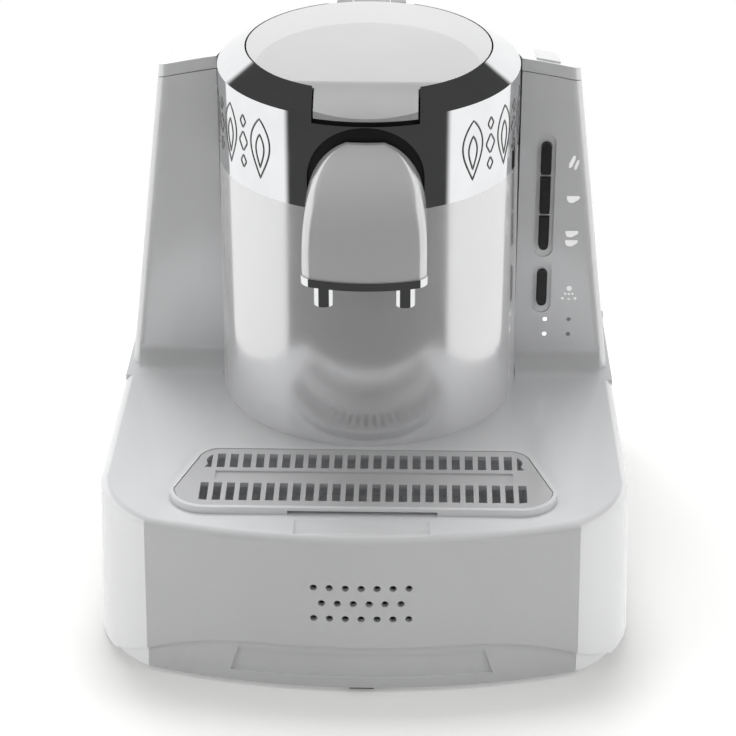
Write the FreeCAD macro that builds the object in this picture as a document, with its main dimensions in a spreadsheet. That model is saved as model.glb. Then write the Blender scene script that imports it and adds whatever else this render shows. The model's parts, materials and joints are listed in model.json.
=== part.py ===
import FreeCAD, Part
import math
import os
import Sketcher

# Electric Turkish coffee maker, in millimetres: +X right, front at -Y, +Z up, origin under the middle.

os.makedirs("parts", exist_ok=True)
doc = FreeCAD.newDocument("coffee_maker")
sheet = doc.addObject("Spreadsheet::Sheet", "Dims")
nodes = []


class Size:
    """A measure that knows its value and the expression that gives it from the sheet."""

    def __init__(self, value, text):
        self.value = float(value)
        self.text = text

    def __add__(self, other):
        other = as_size(other)
        return Size(self.value + other.value, f"({self.text} + {other.text})")

    def __sub__(self, other):
        other = as_size(other)
        return Size(self.value - other.value, f"({self.text} - {other.text})")

    def __mul__(self, other):
        other = as_size(other)
        return Size(self.value * other.value, f"({self.text} * {other.text})")

    def __truediv__(self, other):
        other = as_size(other)
        return Size(self.value / other.value, f"({self.text} / {other.text})")

    def __radd__(self, other):
        return as_size(other) + self

    def __rsub__(self, other):
        return as_size(other) - self

    def __rmul__(self, other):
        return as_size(other) * self

    def __neg__(self):
        return Size(-self.value, f"(0 - {self.text})")


def as_size(number):
    if isinstance(number, Size):
        return number
    return Size(number, f"({number})")


def root(amount):
    return Size(math.sqrt(amount.value), f"sqrt({amount.text})")


def size(name, number):
    """Writes one driving dimension to the sheet and returns it."""
    size.row += 1
    sheet.set(f"A{size.row}", name)
    sheet.set(f"B{size.row}", str(number))
    sheet.setAlias(f"B{size.row}", name)
    return Size(number, f"Dims.{name}")


size.row = 0

# Base and deck
foot_height = size("foot_height", 3.0)
base_half = size("base_half", 127.4)
side_taper = size("side_taper", 2.8)
rear_half = base_half - side_taper
base_front = size("base_front", 136.0)
base_rear = size("base_rear", 136.0)
front_bow = size("front_bow", 15.5)
corner_reach = size("corner_reach", 25.4)
corner_side = base_half - corner_reach
corner_round = size("corner_round", 56.0)
corner_end = size("corner_end", 78.0)
rear_round = size("rear_round", 20.0)
base_draft = size("base_draft", 2.1)
shell_wall = size("shell_wall", 3.0)
seam_level = size("seam_level", 79.0)
deck_level = size("deck_level", 84.0)
deck_round = size("deck_round", 4.0)
panel_edge = size("panel_edge", 26.0)
panel_flat = size("panel_flat", 50.0)
chin_inset = size("chin_inset", 1.5)
pan_floor = size("pan_floor", 2.5)
vent_diameter = size("vent_diameter", 3.3)
vent_pitch = size("vent_pitch", 7.3)
vent_row_pitch = size("vent_row_pitch", 8.15)
vent_level = size("vent_level", 49.6)
scoop_half = size("scoop_half", 31.0)
scoop_depth = size("scoop_depth", 1.6)

# Tower, head and nose
tower_y = size("tower_y", 24.0)
tower_radius = size("tower_radius", 72.2)
tower_flare = size("tower_flare", 1.3)
tower_wall = size("tower_wall", 2.5)
band_bottom = size("band_bottom", 207.2)
band_top = size("band_top", 253.5)
band_wall = size("band_wall", 2.2)
lid_level = size("lid_level", 262.0)
lid_radius = size("lid_radius", 58.2)
lid_gap = size("lid_gap", 0.8)
lid_rise = size("lid_rise", 2.0)
lid_thick = size("lid_thick", 3.0)
tongue_half = size("tongue_half", 23.8)
tongue_gap = size("tongue_gap", 3.8)
hinge_y = size("hinge_y", 84.5)
hinge_level = size("hinge_level", 259.0)
hinge_barrel = size("hinge_barrel", 3.0)
hinge_pin_radius = size("hinge_pin_radius", 1.2)
nose_half = size("nose_half", 28.6)
nose_front = size("nose_front", 80.0)
nose_foot = size("nose_foot", 187.0)
nose_top = size("nose_top", 242.5)
nose_wall = size("nose_wall", 2.2)
rim_height = size("rim_height", 4.0)
nozzle_side = size("nozzle_side", 18.7)
nozzle_y = size("nozzle_y", 66.5)
nozzle_radius = size("nozzle_radius", 4.6)
nozzle_bore = size("nozzle_bore", 3.2)
nozzle_drop = size("nozzle_drop", 17.0)
collar_half = size("collar_half", 30.5)
collar_top = size("collar_top", 249.3)

# Housing, tank and cap
face_y = size("face_y", 32.0)
back_y = size("back_y", 133.0)
deck_margin = size("deck_margin", 6.5)
housing_foot_half = base_half - deck_margin
shoulder_lean = size("shoulder_lean", 18.6)
shoulder_half = housing_foot_half - shoulder_lean
shoulder_level = size("shoulder_level", 240.0)
housing_wall = size("housing_wall", 3.0)
edge_round = size("edge_round", 5.0)
cove = size("cove", 12.0)
crown_radius = size("crown_radius", 480.0)
barrel_y = size("barrel_y", 9.8)
barrel_level = size("barrel_level", 71.2)
cap_radius = size("cap_radius", 188.0)
cap_thick = size("cap_thick", 6.5)
seam_gap = size("seam_gap", 0.4)
bay_front = size("bay_front", 100.0)
bay_margin = size("bay_margin", 10.3)
bay_half = shoulder_half - bay_margin
tank_gap = size("tank_gap", 0.8)
tank_wall = size("tank_wall", 2.0)
tank_foot = size("tank_foot", 92.0)

# Tray and grille
tray_front = size("tray_front", 112.5)
tray_back = size("tray_back", 56.5)
tray_margin = size("tray_margin", 37.0)
tray_half = base_half - tray_margin
tray_front_corner = size("tray_front_corner", 17.4)
tray_front_half = tray_half - tray_front_corner
tray_back_corner = size("tray_back_corner", 20.4)
tray_back_half = tray_half - tray_back_corner
tray_corner_y = size("tray_corner_y", 96.0)
tray_level = size("tray_level", 87.6)
tray_depth = size("tray_depth", 26.0)
tray_wall = size("tray_wall", 2.0)
tray_gap = size("tray_gap", 0.5)
grille_thick = size("grille_thick", 2.4)
grille_rim = size("grille_rim", 4.5)
slot_pitch = size("slot_pitch", 6.18)
slot_width = size("slot_width", 3.8)
slot_half_count = 12

# Buttons
button_shift = size("button_shift", 0.75)
button_x = (tower_radius + shoulder_half) / 2 - button_shift
button_half = size("button_half", 2.3)
button_gap = size("button_gap", 0.3)
button_proud = size("button_proud", 1.6)
button_travel = size("button_travel", 1.2)


# Sketches and solids
def origin_plane(body, role):
    return next(feature for feature in body.Origin.OriginFeatures if feature.Role == role)


def arc_between(start, end, radius, turn):
    """The short arc from start to end, with its centre on the left or right of the way."""
    middle = (start + end) * 0.5
    way = end - start
    half = way.Length / 2
    reach = math.sqrt(max(radius * radius - half * half, 0.0))
    left = FreeCAD.Vector(-way.y, way.x, 0).normalize()
    centre = middle + left * (reach if turn == "left" else -reach)
    first, last = (start, end) if turn == "left" else (end, start)
    begin = math.atan2(first.y - centre.y, first.x - centre.x)
    finish = math.atan2(last.y - centre.y, last.x - centre.x)
    circle = Part.Circle(centre, FreeCAD.Vector(0, 0, 1), radius)
    return Part.ArcOfCircle(circle, begin, finish)


def draw(sketch, path):
    """Draws a closed path of (x, y) corners; (x, y, radius, turn) reaches its corner by an arc."""
    corners = [[as_size(measure) if index < 3 else measure for index, measure in enumerate(step)]
               for step in path]
    starts = []
    ends = []
    for index, step in enumerate(corners):
        before = corners[index - 1]
        start = FreeCAD.Vector(before[0].value, before[1].value, 0)
        end = FreeCAD.Vector(step[0].value, step[1].value, 0)
        if len(step) == 2:
            edge = sketch.addGeometry(Part.LineSegment(start, end), False)
            starts.append((edge, 1))
            ends.append((edge, 2))
            continue
        edge = sketch.addGeometry(arc_between(start, end, step[2].value, step[3]), False)
        bend = sketch.addConstraint(Sketcher.Constraint("Radius", edge, step[2].value))
        sketch.setExpression(f"Constraints[{bend}]", step[2].text)
        starts.append((edge, 1 if step[3] == "left" else 2))
        ends.append((edge, 2 if step[3] == "left" else 1))
    for index, step in enumerate(corners):
        following = starts[(index + 1) % len(corners)]
        sketch.addConstraint(Sketcher.Constraint("Coincident", *ends[index], *following))
        across = sketch.addConstraint(
            Sketcher.Constraint("DistanceX", -1, 1, *ends[index], step[0].value))
        sketch.setExpression(f"Constraints[{across}]", step[0].text)
        along = sketch.addConstraint(
            Sketcher.Constraint("DistanceY", -1, 1, *ends[index], step[1].value))
        sketch.setExpression(f"Constraints[{along}]", step[1].text)


def ring(sketch, x, y, radius):
    """Draws a circle pinned to its place."""
    x, y, radius = as_size(x), as_size(y), as_size(radius)
    centre = FreeCAD.Vector(x.value, y.value, 0)
    edge = sketch.addGeometry(Part.Circle(centre, FreeCAD.Vector(0, 0, 1), radius.value), False)
    for kind, first, measure in (("Radius", (edge,), radius),
                                 ("DistanceX", (-1, 1, edge, 3), x),
                                 ("DistanceY", (-1, 1, edge, 3), y)):
        index = sketch.addConstraint(Sketcher.Constraint(kind, *first, measure.value))
        sketch.setExpression(f"Constraints[{index}]", measure.text)


def new_sketch(body, role, offset):
    sketch = body.newObject("Sketcher::SketchObject", body.Name + "_sketch")
    sketch.AttachmentSupport = [(origin_plane(body, role), "")]
    sketch.MapMode = "FlatFace"
    sketch.setExpression("AttachmentOffset.Base.z", as_size(offset).text)
    return sketch


def prism(name, role, offset, paths, length):
    """Pads closed paths from a plane: XY grows up, XZ grows to the front, YZ grows to the right."""
    body = doc.addObject("PartDesign::Body", name)
    sketch = new_sketch(body, role, offset)
    for path in paths:
        if path[0] == "circle":
            ring(sketch, *path[1:])
        else:
            draw(sketch, path)
    pad = body.newObject("PartDesign::Pad", name + "_pad")
    pad.Profile = sketch
    pad.setExpression("Length", as_size(length).text)
    return body


def column(name, bottom, path, height):
    return prism(name, "XY_Plane", bottom, [path], height)


def lofted(name, sections):
    """Lofts upward through (level, path) sections."""
    body = doc.addObject("PartDesign::Body", name)
    sketches = []
    for level, path in sections:
        sketches.append(new_sketch(body, "XY_Plane", level))
        draw(sketches[-1], path)
    loft = body.newObject("PartDesign::AdditiveLoft", name + "_loft")
    loft.Profile = sketches[0]
    loft.Sections = sketches[1:]
    return body


def slab_to_front(name, back, path, depth):
    return prism(name, "XZ_Plane", -as_size(back), [path], depth)


def slab_to_right(name, left, path, width):
    return prism(name, "YZ_Plane", left, [path], width)


def turned(name, path, y, z=0, axis="V_Axis"):
    """Turns a profile about the upright axis through y, or about the sideways axis through y and z."""
    body = doc.addObject("PartDesign::Body", name)
    sketch = new_sketch(body, "XZ_Plane", 0)
    draw(sketch, path)
    turn = body.newObject("PartDesign::Revolution", name + "_turn")
    turn.Profile = sketch
    turn.ReferenceAxis = (sketch, [axis])
    turn.Angle = 360
    body.setExpression("Placement.Base.y", as_size(y).text)
    body.setExpression("Placement.Base.z", as_size(z).text)
    return body


def place(item, x, y, z):
    for axis, measure in (("x", x), ("y", y), ("z", z)):
        item.setExpression(f"Placement.Base.{axis}", as_size(measure).text)
    return item


def box(name, x, y, z, length, width, height):
    """A block from its low corner."""
    item = doc.addObject("Part::Box", name)
    item.setExpression("Length", as_size(length).text)
    item.setExpression("Width", as_size(width).text)
    item.setExpression("Height", as_size(height).text)
    return place(item, x, y, z)


def centred_box(name, x, y, z, length, width, height):
    """A block from the middle of its foot."""
    return box(name, x - as_size(length) / 2, y - as_size(width) / 2, z, length, width, height)


TURNS = {"z": FreeCAD.Rotation(),
         "x": FreeCAD.Rotation(FreeCAD.Vector(0, 1, 0), 90),
         "y": FreeCAD.Rotation(FreeCAD.Vector(1, 0, 0), 90)}


def rod(name, axis, x, y, z, radius, length):
    """A cylinder that grows up, to the right, or to the front."""
    item = doc.addObject("Part::Cylinder", name)
    item.Placement = FreeCAD.Placement(FreeCAD.Vector(), TURNS[axis])
    item.setExpression("Radius", as_size(radius).text)
    item.setExpression("Height", as_size(length).text)
    return place(item, x, y, z)


def pipe(name, axis, x, y, z, radius, bore, length):
    outer = rod(name + "_outer", axis, x, y, z, radius, length)
    inner = rod(name + "_bore", axis, x, y, z, bore, length)
    return cut(name, outer, inner)


def fuse(name, *items):
    if len(items) == 1:
        return items[0]
    item = doc.addObject("Part::MultiFuse", name)
    item.Shapes = list(items)
    item.Refine = True
    return item


def group(name, *items):
    """Several like solids kept in one node."""
    item = doc.addObject("Part::Compound", name)
    item.Links = list(items)
    return item


def cut(name, base, *tools):
    item = doc.addObject("Part::Cut", name)
    item.Base = base
    item.Tool = fuse(name + "_tools", *tools)
    item.Refine = True
    return item


def common(name, *items):
    item = doc.addObject("Part::MultiCommon", name)
    item.Shapes = list(items)
    return item


def round_body(body, radius, wanted):
    """Rounds the edges of a body's last feature that the test wants."""
    doc.recompute()
    names = [f"Edge{index + 1}" for index, edge in enumerate(body.Tip.Shape.Edges) if wanted(edge)]
    last = body.Tip
    fillet = body.newObject("PartDesign::Fillet", body.Name + "_round")
    fillet.Base = (last, names)
    fillet.setExpression("Radius", radius.text)
    body.Tip = fillet
    return body


def node(label, item):
    """Names a finished piece; its label names its file."""
    item.Label = label
    nodes.append(item)
    return item


def near(first, second, slack=0.05):
    return abs(first - as_size(second).value) < slack


def sag_radius(half, sag):
    """Radius of an arc from half its chord and its height."""
    return (half * half + sag * sag) / (2 * sag)


# Lower shell, floor pan and feet
def base_path(inset):
    """Outline of the base from above at its foot, drawn in by an inset."""
    side = corner_side - inset * 0.6
    front = base_front - front_bow - inset
    half = base_half - inset
    rear = rear_half - inset
    back = base_rear - inset
    turn = rear_round - inset
    bow = sag_radius(side, front_bow)
    return [(side, -front, bow, "left"),
            (half, -corner_end, corner_round - inset, "left"),
            (rear, back - turn),
            (rear - turn, back, turn, "left"),
            (turn - rear, back),
            (-rear, back - turn, turn, "left"),
            (-half, -corner_end),
            (-side, -front, corner_round - inset, "left")]


base_lean = size("base_lean", 2.8)
shell_height = seam_level - foot_height


def base_column(name, low, high, inset):
    """The base between two levels, padded down from the upper one with its sides leaning out."""
    body = column(name, high, base_path(inset + base_lean * (high - foot_height) / shell_height),
                  high - low)
    slope = base_lean / shell_height
    body.Tip.Reversed = True
    body.Tip.setExpression("TaperAngle", f"atan({slope.text})")
    return body


def under_panel(name, gap):
    """The room below the arched lower edge of the front panel."""
    corner = base_half - 9
    low = foot_height - 1
    high = foot_height + 0.5
    bend = sag_radius(corner - panel_flat, panel_edge - high)
    path = [(corner, low), (corner, high - gap),
            (panel_flat, panel_edge - gap, bend, "left"),
            (-panel_flat, panel_edge - gap),
            (-corner, high - gap, bend, "left"),
            (-corner, low)]
    return slab_to_front(name, -50, path, base_front - 40)


boss_margin = size("boss_margin", 21.4)
boss_x = base_half - boss_margin
boss_front = size("boss_front", 72.0)
boss_back = size("boss_back", 106.0)
boss_radius = size("boss_radius", 4.5)
screw_radius = size("screw_radius", 1.8)
screw_head = size("screw_head", 3.6)
pan_top = size("pan_top", 38.0)
boss_places = [(boss_x, -boss_front), (-boss_x, -boss_front), (boss_x, boss_back), (-boss_x, boss_back)]

shell_outside = base_column("shell_outside", foot_height, seam_level, 0)
shell_inside = base_column("shell_inside", foot_height - 1, seam_level + 1, shell_wall)
vents = []
for row, count in ((-1, 7), (0, 6), (1, 7)):
    for step in range(count):
        x = vent_pitch * (step - (count - 1) / 2)
        z = vent_level + vent_row_pitch * row
        vents.append(rod(f"vent_{row + 1}_{step}", "y", x, 10 - base_front, z, vent_diameter / 2, 20))
gland_margin = size("gland_margin", 40.6)
gland_x = rear_half - gland_margin
gland_level = size("gland_level", 24.0)
gland_radius = size("gland_radius", 7.0)
cable_bore = size("cable_bore", 3.4)
gland_hole = rod("gland_hole", "y", gland_x, base_rear + 2, gland_level, gland_radius, 12)
hollow_shell = cut("hollow_shell", shell_outside, shell_inside, under_panel("panel_arch", as_size(0)),
                   gland_hole, *vents)
shell_bosses = []
for index, (x, y) in enumerate(boss_places):
    post = rod(f"shell_boss_{index}", "z", x, y, foot_height + pan_floor + 0.3, boss_radius,
               seam_level - foot_height - pan_floor - 0.3)
    reach = base_half - boss_x - 3.6
    rib_x = x if index % 2 == 0 else x - reach
    rib = box(f"shell_rib_{index}", rib_x, y - 1.2, pan_top + 2, reach, 2.4, seam_level - pan_top - 2)
    bore = rod(f"shell_bore_{index}", "z", x, y, foot_height, screw_radius, seam_level)
    shell_bosses.append(cut(f"shell_post_{index}", fuse(f"shell_stand_{index}", post, rib), bore))
node("base_shell", fuse("base_shell_all", hollow_shell, *shell_bosses))

chin = common("chin", base_column("chin_column", foot_height, panel_edge, chin_inset),
              under_panel("chin_arch", as_size(0.2)))
pan_column = base_column("pan_column", foot_height, pan_top, shell_wall + 0.3)
pan_room = base_column("pan_room", foot_height + pan_floor, pan_top + 1, shell_wall + 2.8)
recess_half = size("recess_half", 61.5)
recess_low = size("recess_low", 8.5)
recess_high = size("recess_high", 21.5)
recess_depth = size("recess_depth", 1.2)
recess_slab = slab_to_front("recess_slab", -90, [(recess_half, recess_low),
                                                 (recess_half - 4, recess_high),
                                                 (4 - recess_half, recess_high),
                                                 (-recess_half, recess_low)], 60)
recess_skin = cut("recess_skin", base_column("recess_outer", foot_height, panel_edge, 0),
                  base_column("recess_inner", foot_height - 1, panel_edge + 1, chin_inset + recess_depth))
chin_recess = common("chin_recess", recess_slab, recess_skin)
pan_holes = []
for index, (x, y) in enumerate(boss_places):
    pan_holes.append(rod(f"pan_hole_{index}", "z", x, y, foot_height - 1, screw_radius + 0.1, 8))
    pan_holes.append(rod(f"pan_sink_{index}", "z", x, y, foot_height - 1, screw_head + 0.1, 2.4))
board_level = size("board_level", 14.0)
board_x = size("board_x", 12.0)
board_y = size("board_y", 34.0)
board_length = size("board_length", 84.0)
board_width = size("board_width", 58.0)
board_posts = []
for index in range(4):
    x = board_x + 5 + (board_length - 10) * (index % 2)
    y = board_y + 5 + (board_width - 10) * (index // 2)
    board_posts.append(rod(f"board_post_{index}", "z", x, y, foot_height + 1, 3,
                           board_level - foot_height - 1))
pan_gland = rod("pan_gland", "y", gland_x, base_rear + 2, gland_level, gland_radius, 20)
pan_shell = cut("pan_shell", fuse("pan_solid", pan_column, chin), pan_room, chin_recess, pan_gland,
                *pan_holes)
node("base_pan", fuse("base_pan_all", pan_shell, *board_posts))

node("base_screws", group("base_screws_all", *[
    fuse(f"base_screw_{index}",
         rod(f"base_screw_head_{index}", "z", x, y, foot_height - 0.4, screw_head, 1.7),
         rod(f"base_screw_shank_{index}", "z", x, y, foot_height, screw_radius, 22))
    for index, (x, y) in enumerate(boss_places)]))

foot_radius = size("foot_radius", 9.0)
foot_margin = size("foot_margin", 39.4)
foot_x = base_half - foot_margin
foot_front = size("foot_front", 88.0)
foot_back = size("foot_back", 108.0)
node("rubber_feet", group("rubber_feet_all", *[
    rod(f"foot_{index}", "z", x, y, 0, foot_radius, foot_height)
    for index, (x, y) in enumerate([(foot_x, -foot_front), (-foot_x, -foot_front),
                                    (foot_x, foot_back), (-foot_x, foot_back)])]))
node("front_foot", centred_box("front_foot_tab", 0, 9 - base_front, 0, 11.6, 8, foot_height))


# Upper housing: deck, shoulders and tank bay in one moulding
def barrel(name, radius):
    """A solid turned about the sideways axis, with the crown of the cap in its outline."""
    half = barrel_reach
    drop = crown_radius - root(crown_radius * crown_radius - half * half)
    return turned(name, [(half, 0), (half, radius - drop),
                         (-half, radius - drop, crown_radius, "left"), (-half, 0)],
                  barrel_y, barrel_level, "H_Axis")


barrel_margin = size("barrel_margin", 4.6)
barrel_reach = base_half + barrel_margin
seam_radius = cap_radius - cap_thick
housing_lean = (housing_foot_half - shoulder_half) / (shoulder_level - deck_level)
housing_peak = size("housing_peak", 264.0)


def housing_path(inset, low):
    """Front outline of the shoulders with leaning sides."""
    bottom = housing_foot_half + housing_lean * (deck_level - low) - inset
    top = housing_foot_half - housing_lean * (housing_peak - deck_level) - inset
    return [(bottom, low), (top, housing_peak), (-top, housing_peak), (-bottom, low)]


def upright(edge, y):
    """True for a long edge at one depth that climbs a leaning side."""
    ends = [vertex.Point for vertex in edge.Vertexes]
    return len(ends) == 2 and all(near(end.y, y) for end in ends) and abs(ends[0].z - ends[1].z) > 60


def shoulder_block(name, low):
    block = slab_to_front(name, back_y, housing_path(as_size(0), low), back_y - face_y)
    round_body(block, rear_round - base_lean, lambda edge: upright(edge, back_y))
    return round_body(block, edge_round, lambda edge: upright(edge, face_y))


shoulders = common("shoulders", shoulder_block("shoulder_prism", deck_level - 1),
                   barrel("seam_barrel", seam_radius))
deck_plate = column("deck_plate", seam_level, base_path(base_lean), deck_level - seam_level)
deck_square = column("deck_square", seam_level, base_path(base_lean), deck_level - seam_level)
round_body(deck_plate, deck_round,
           lambda edge: all(near(vertex.Z, deck_level) for vertex in edge.Vertexes))
deck_rear = common("deck_rear", deck_square,
                   box("deck_rear_box", -base_half, face_y - cove, seam_level, base_half * 2,
                       base_rear * 2, 20))
cove_path = [(face_y + 1, deck_level - 0.5), (face_y + 1, deck_level + cove), (face_y, deck_level + cove),
             (face_y - cove, deck_level, cove, "right"), (face_y - cove, deck_level - 0.5)]
cove_end = size("cove_end", 4.0)
cove_half = housing_foot_half - cove_end
cove_strip = slab_to_right("cove_strip", -cove_half, cove_path, cove_half * 2)
front_room = common("front_room",
                    slab_to_front("front_room_slab", bay_front - housing_wall,
                                  housing_path(housing_wall, deck_level - 1),
                                  bay_front - face_y - housing_wall * 2),
                    barrel("room_barrel", seam_radius - housing_wall))
bay_room = box("bay_room", -bay_half, bay_front, deck_level + housing_wall, bay_half * 2,
               back_y - housing_wall - bay_front, 200)
bore_gap = size("bore_gap", 0.4)
tower_bore = rod("tower_bore", "z", 0, tower_y, deck_level, tower_radius + tower_flare + bore_gap, 200)
duct_opening = rod("duct_opening", "z", 0, tower_y, seam_level - 1, 60, 10)
port_x = size("port_x", 52.0)
port_y = size("port_y", 114.0)
hose_radius = size("hose_radius", 4.0)
hose_hole = rod("hose_hole", "z", -port_x, port_y, seam_level - 1, hose_radius + 0.3, 20)


def tray_path(inset):
    """Outline of the drip tray from above, drawn in by an inset."""
    front = tray_front - inset
    back = tray_back + inset
    return [(tray_front_half, -front),
            (tray_half - inset, -tray_corner_y, 18 - inset, "left"),
            (tray_back_half + 11 - inset, -(back + 9)),
            (tray_back_half, -back, 13 - inset, "left"),
            (-tray_back_half, -back),
            (inset - tray_back_half - 11, -(back + 9), 13 - inset, "left"),
            (inset - tray_half, -tray_corner_y),
            (-tray_front_half, -front, 18 - inset, "left")]


well_inset = size("well_inset", 2.4)
tray_opening = column("tray_opening", seam_level - 1, tray_path(well_inset), 20)
scoop_radius = size("scoop_radius", 12.0)
scoop = rod("scoop", "x", -scoop_half, -(base_front - 13), deck_level + scoop_radius - scoop_depth,
            scoop_radius, scoop_half * 2)

button_tops = [size("power_top", 208.7), size("single_top", 190.1), size("double_top", 169.0),
               size("clean_top", 139.9)]
button_feet = [size("power_foot", 192.2), size("single_foot", 171.2), size("double_foot", 151.5),
               size("clean_foot", 120.5)]
button_names = ["power_button", "one_cup_button", "two_cup_button", "rinse_button"]
rounded_tops = [True, False, False, True]
rounded_feet = [False, False, True, True]


def button_path(index, gap):
    """Front outline of a button: a narrow bar whose end is round where the photo shows it."""
    half = button_half + gap
    top = button_tops[index] + gap
    foot = button_feet[index] - gap
    left = button_x - half
    right = button_x + half
    path = [(right, foot + half), (right, top - half)]
    if rounded_tops[index]:
        path += [(button_x, top, half, "left"), (left, top - half, half, "left")]
    else:
        path[1] = (right, top)
        path += [(left, top)]
    if rounded_feet[index]:
        path += [(left, foot + half), (button_x, foot, half, "left"), (right, foot + half, half, "left")]
        path = path[1:]
    else:
        path[0] = (right, foot)
        path += [(left, foot)]
    return path


slots = [slab_to_front(f"button_slot_{index}", face_y + housing_wall + 1, button_path(index, button_gap),
                       housing_wall + 4) for index in range(4)]
panel_recess = size("panel_recess", 0.8)
recess_side = size("recess_side", 4.6)
recesses = []
for index, (foot, top) in enumerate(((button_feet[2], button_tops[0]), (button_feet[3], button_tops[3]))):
    path = [(button_x + recess_side, foot), (button_x + recess_side, top),
            (button_x, top + recess_side, recess_side, "left"),
            (button_x - recess_side, top, recess_side, "left"),
            (button_x - recess_side, foot),
            (button_x, foot - recess_side, recess_side, "left"),
            (button_x + recess_side, foot, recess_side, "left")]
    recesses.append(slab_to_front(f"panel_recess_{index}", face_y + panel_recess, path[1:],
                                  panel_recess + 2))
lens_radius = size("lens_radius", 1.1)
lens_levels = [size("lens_high", 112.2), size("lens_low", 103.8)]
lens_shift = size("lens_shift", 2.1)
lens_spread = size("lens_spread", 12.0)
lens_sides = [button_x + lens_shift, button_x + lens_shift + lens_spread]
lens_holes = [rod(f"lens_hole_{row}_{side}", "y", x, face_y + housing_wall + 1, z, lens_radius,
                  housing_wall + 3)
              for row, z in enumerate(lens_levels) for side, x in enumerate(lens_sides)]
lug_x = size("lug_x", 52.0)
lug_width = size("lug_width", 8.0)
cap_hinge_y = size("cap_hinge_y", 132.4)
cap_hinge_level = size("cap_hinge_level", 189.0)
cap_barrel = size("cap_barrel", 3.0)
lug_gap = size("lug_gap", 0.6)
notch_width = lug_width * 2 + lug_gap * 3
rear_notches = [box("rear_notch_right", lug_x - lug_gap, back_y - housing_wall - 1, cap_hinge_level - 5,
                    notch_width, 12, 60),
                box("rear_notch_left", lug_gap - lug_x - notch_width, back_y - housing_wall - 1,
                    cap_hinge_level - 5, notch_width, 12, 60)]
housing_solid = fuse("housing_solid", shoulders, deck_plate, deck_rear, cove_strip)
node("upper_housing", cut("upper_housing_all", housing_solid, front_room, bay_room, tower_bore,
                          duct_opening, hose_hole, tray_opening, scoop, *slots, *recesses, *lens_holes,
                          *rear_notches))


# Tower, chrome band and head
tower_base = tower_radius + tower_flare
tower_tube = turned("tower_tube", [(tower_base, deck_level), (tower_radius, band_bottom),
                                   (tower_radius - tower_wall, band_bottom),
                                   (tower_base - tower_wall, deck_level)], tower_y)
tower_back = box("tower_back", -100, face_y + housing_wall, deck_level - 1, 200, 100, 200)
tower_window = size("tower_window", 13.0)
duct_level = size("duct_level", 188.8)
duct_radius = size("duct_radius", 4.0)
tower_port = centred_box("tower_port", 0, tower_y - tower_radius, duct_level - duct_radius - 2,
                         tower_window * 2, 40, duct_radius * 2 + 4)
node("tower_shell", cut("tower_shell_all", tower_tube, tower_back, tower_port))

ring_bore = lid_radius + lid_gap
band_inner = tower_radius - band_wall
band_ring = turned("band_ring", [(tower_radius, band_bottom), (tower_radius, band_top),
                                 (ring_bore, lid_level), (ring_bore, lid_level - 3),
                                 (band_inner, band_top - 2.4), (band_inner, band_bottom)], tower_y)
arch_side = collar_half - 3.5
arch_spring = collar_top - arch_side


def arch_slab(name, grow, top, depth):
    """Arched opening over the nose, seen from the front."""
    half = arch_side + grow
    path = [(half, band_bottom - 6), (half, arch_spring), (0, top, half, "left"),
            (-half, arch_spring, half, "left"), (-half, band_bottom - 6)]
    return slab_to_front(name, tower_y - 30, path, depth)


tongue_slot = centred_box("tongue_slot", 0, tower_y - tower_radius + 8, band_top - tongue_gap,
                          (tongue_half + lid_gap) * 2, 44, 30)
bracket_side = size("bracket_side", 17.0)
knuckle_half = size("knuckle_half", 9.0)
notch_side = bracket_side + 4
hinge_notch = box("hinge_notch", -notch_side, hinge_y - 5.5, band_top + 0.6, notch_side * 2, 10.5, 20)
node("chrome_band", cut("chrome_band_all", band_ring, arch_slab("arch_cut", 0, collar_top, 80),
                        tongue_slot, hinge_notch))

flange_top = size("flange_top", 249.0)
plate_level = size("plate_level", 245.0)
collar_lip = band_top - 2.6
collar_shell = turned("collar_shell", [(tower_radius - 0.8, band_bottom - 5), (tower_radius - 0.8, 252),
                                       (band_inner - 2, 252), (band_inner - 2, band_bottom - 5)], tower_y)
collar_back = turned("collar_back", [(band_inner - 0.1, band_bottom - 5), (band_inner - 0.1, collar_lip),
                                     (band_inner - 2, collar_lip), (band_inner - 2, band_bottom - 5)],
                     tower_y)
collar_slab = slab_to_front("collar_slab", tower_y - 30, [(collar_half, band_bottom + 0.3),
                                                         (collar_half, 252.4),
                                                         (-collar_half, 252.4),
                                                         (-collar_half, band_bottom + 0.3)], 80)
collar_face = common("collar_face", collar_shell, arch_slab("collar_arch", -0.2, collar_top - 0.2, 80),
                     slab_to_front("collar_low", tower_y - 30, [(60, band_bottom + 0.3), (60, 260),
                                                               (-60, 260), (-60, band_bottom + 0.3)],
                                   80))
node("nose_collar", fuse("nose_collar_all", collar_face,
                         common("collar_flange", collar_back, collar_slab)))

# Spout cover over the pour head: a shrinking outline lofted up to its arched top
nose_rise = nose_top - nose_foot
nose_lean = size("nose_lean", 27.6)
nose_shares = (0.0, 0.25, 0.5, 0.7, 0.85, 0.95, 1.0)


def nose_path(half, front, back):
    """Outline of the nose from above: a bowed front, round corners and straight sides."""
    bend = half * 2.8
    corner = half * 0.25
    centre = bend - front
    reach = root((bend - corner) * (bend - corner) - (half - corner) * (half - corner))
    share = bend / (bend - corner)
    meet_x = share * (half - corner)
    meet_y = centre - share * reach
    side_y = centre - reach
    return [(meet_x, meet_y, bend, "left"), (half, side_y, corner, "left"),
            (half, -back), (-half, -back), (-half, side_y), (-meet_x, meet_y, corner, "left")]


def nose_block(name, inset, drop):
    levels = []
    for share in nose_shares:
        width = math.sqrt(1 - (share / 1.03) ** 3.2)
        level = nose_foot + (nose_rise - inset) * share
        if share == 0.0:
            level = level - drop
        front = nose_front - nose_lean * share ** 2.4 - inset
        levels.append((level, nose_path(nose_half * width - inset * (0.4 + 0.6 * width), front,
                                        as_size(38))))
    return lofted(name, levels)


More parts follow.
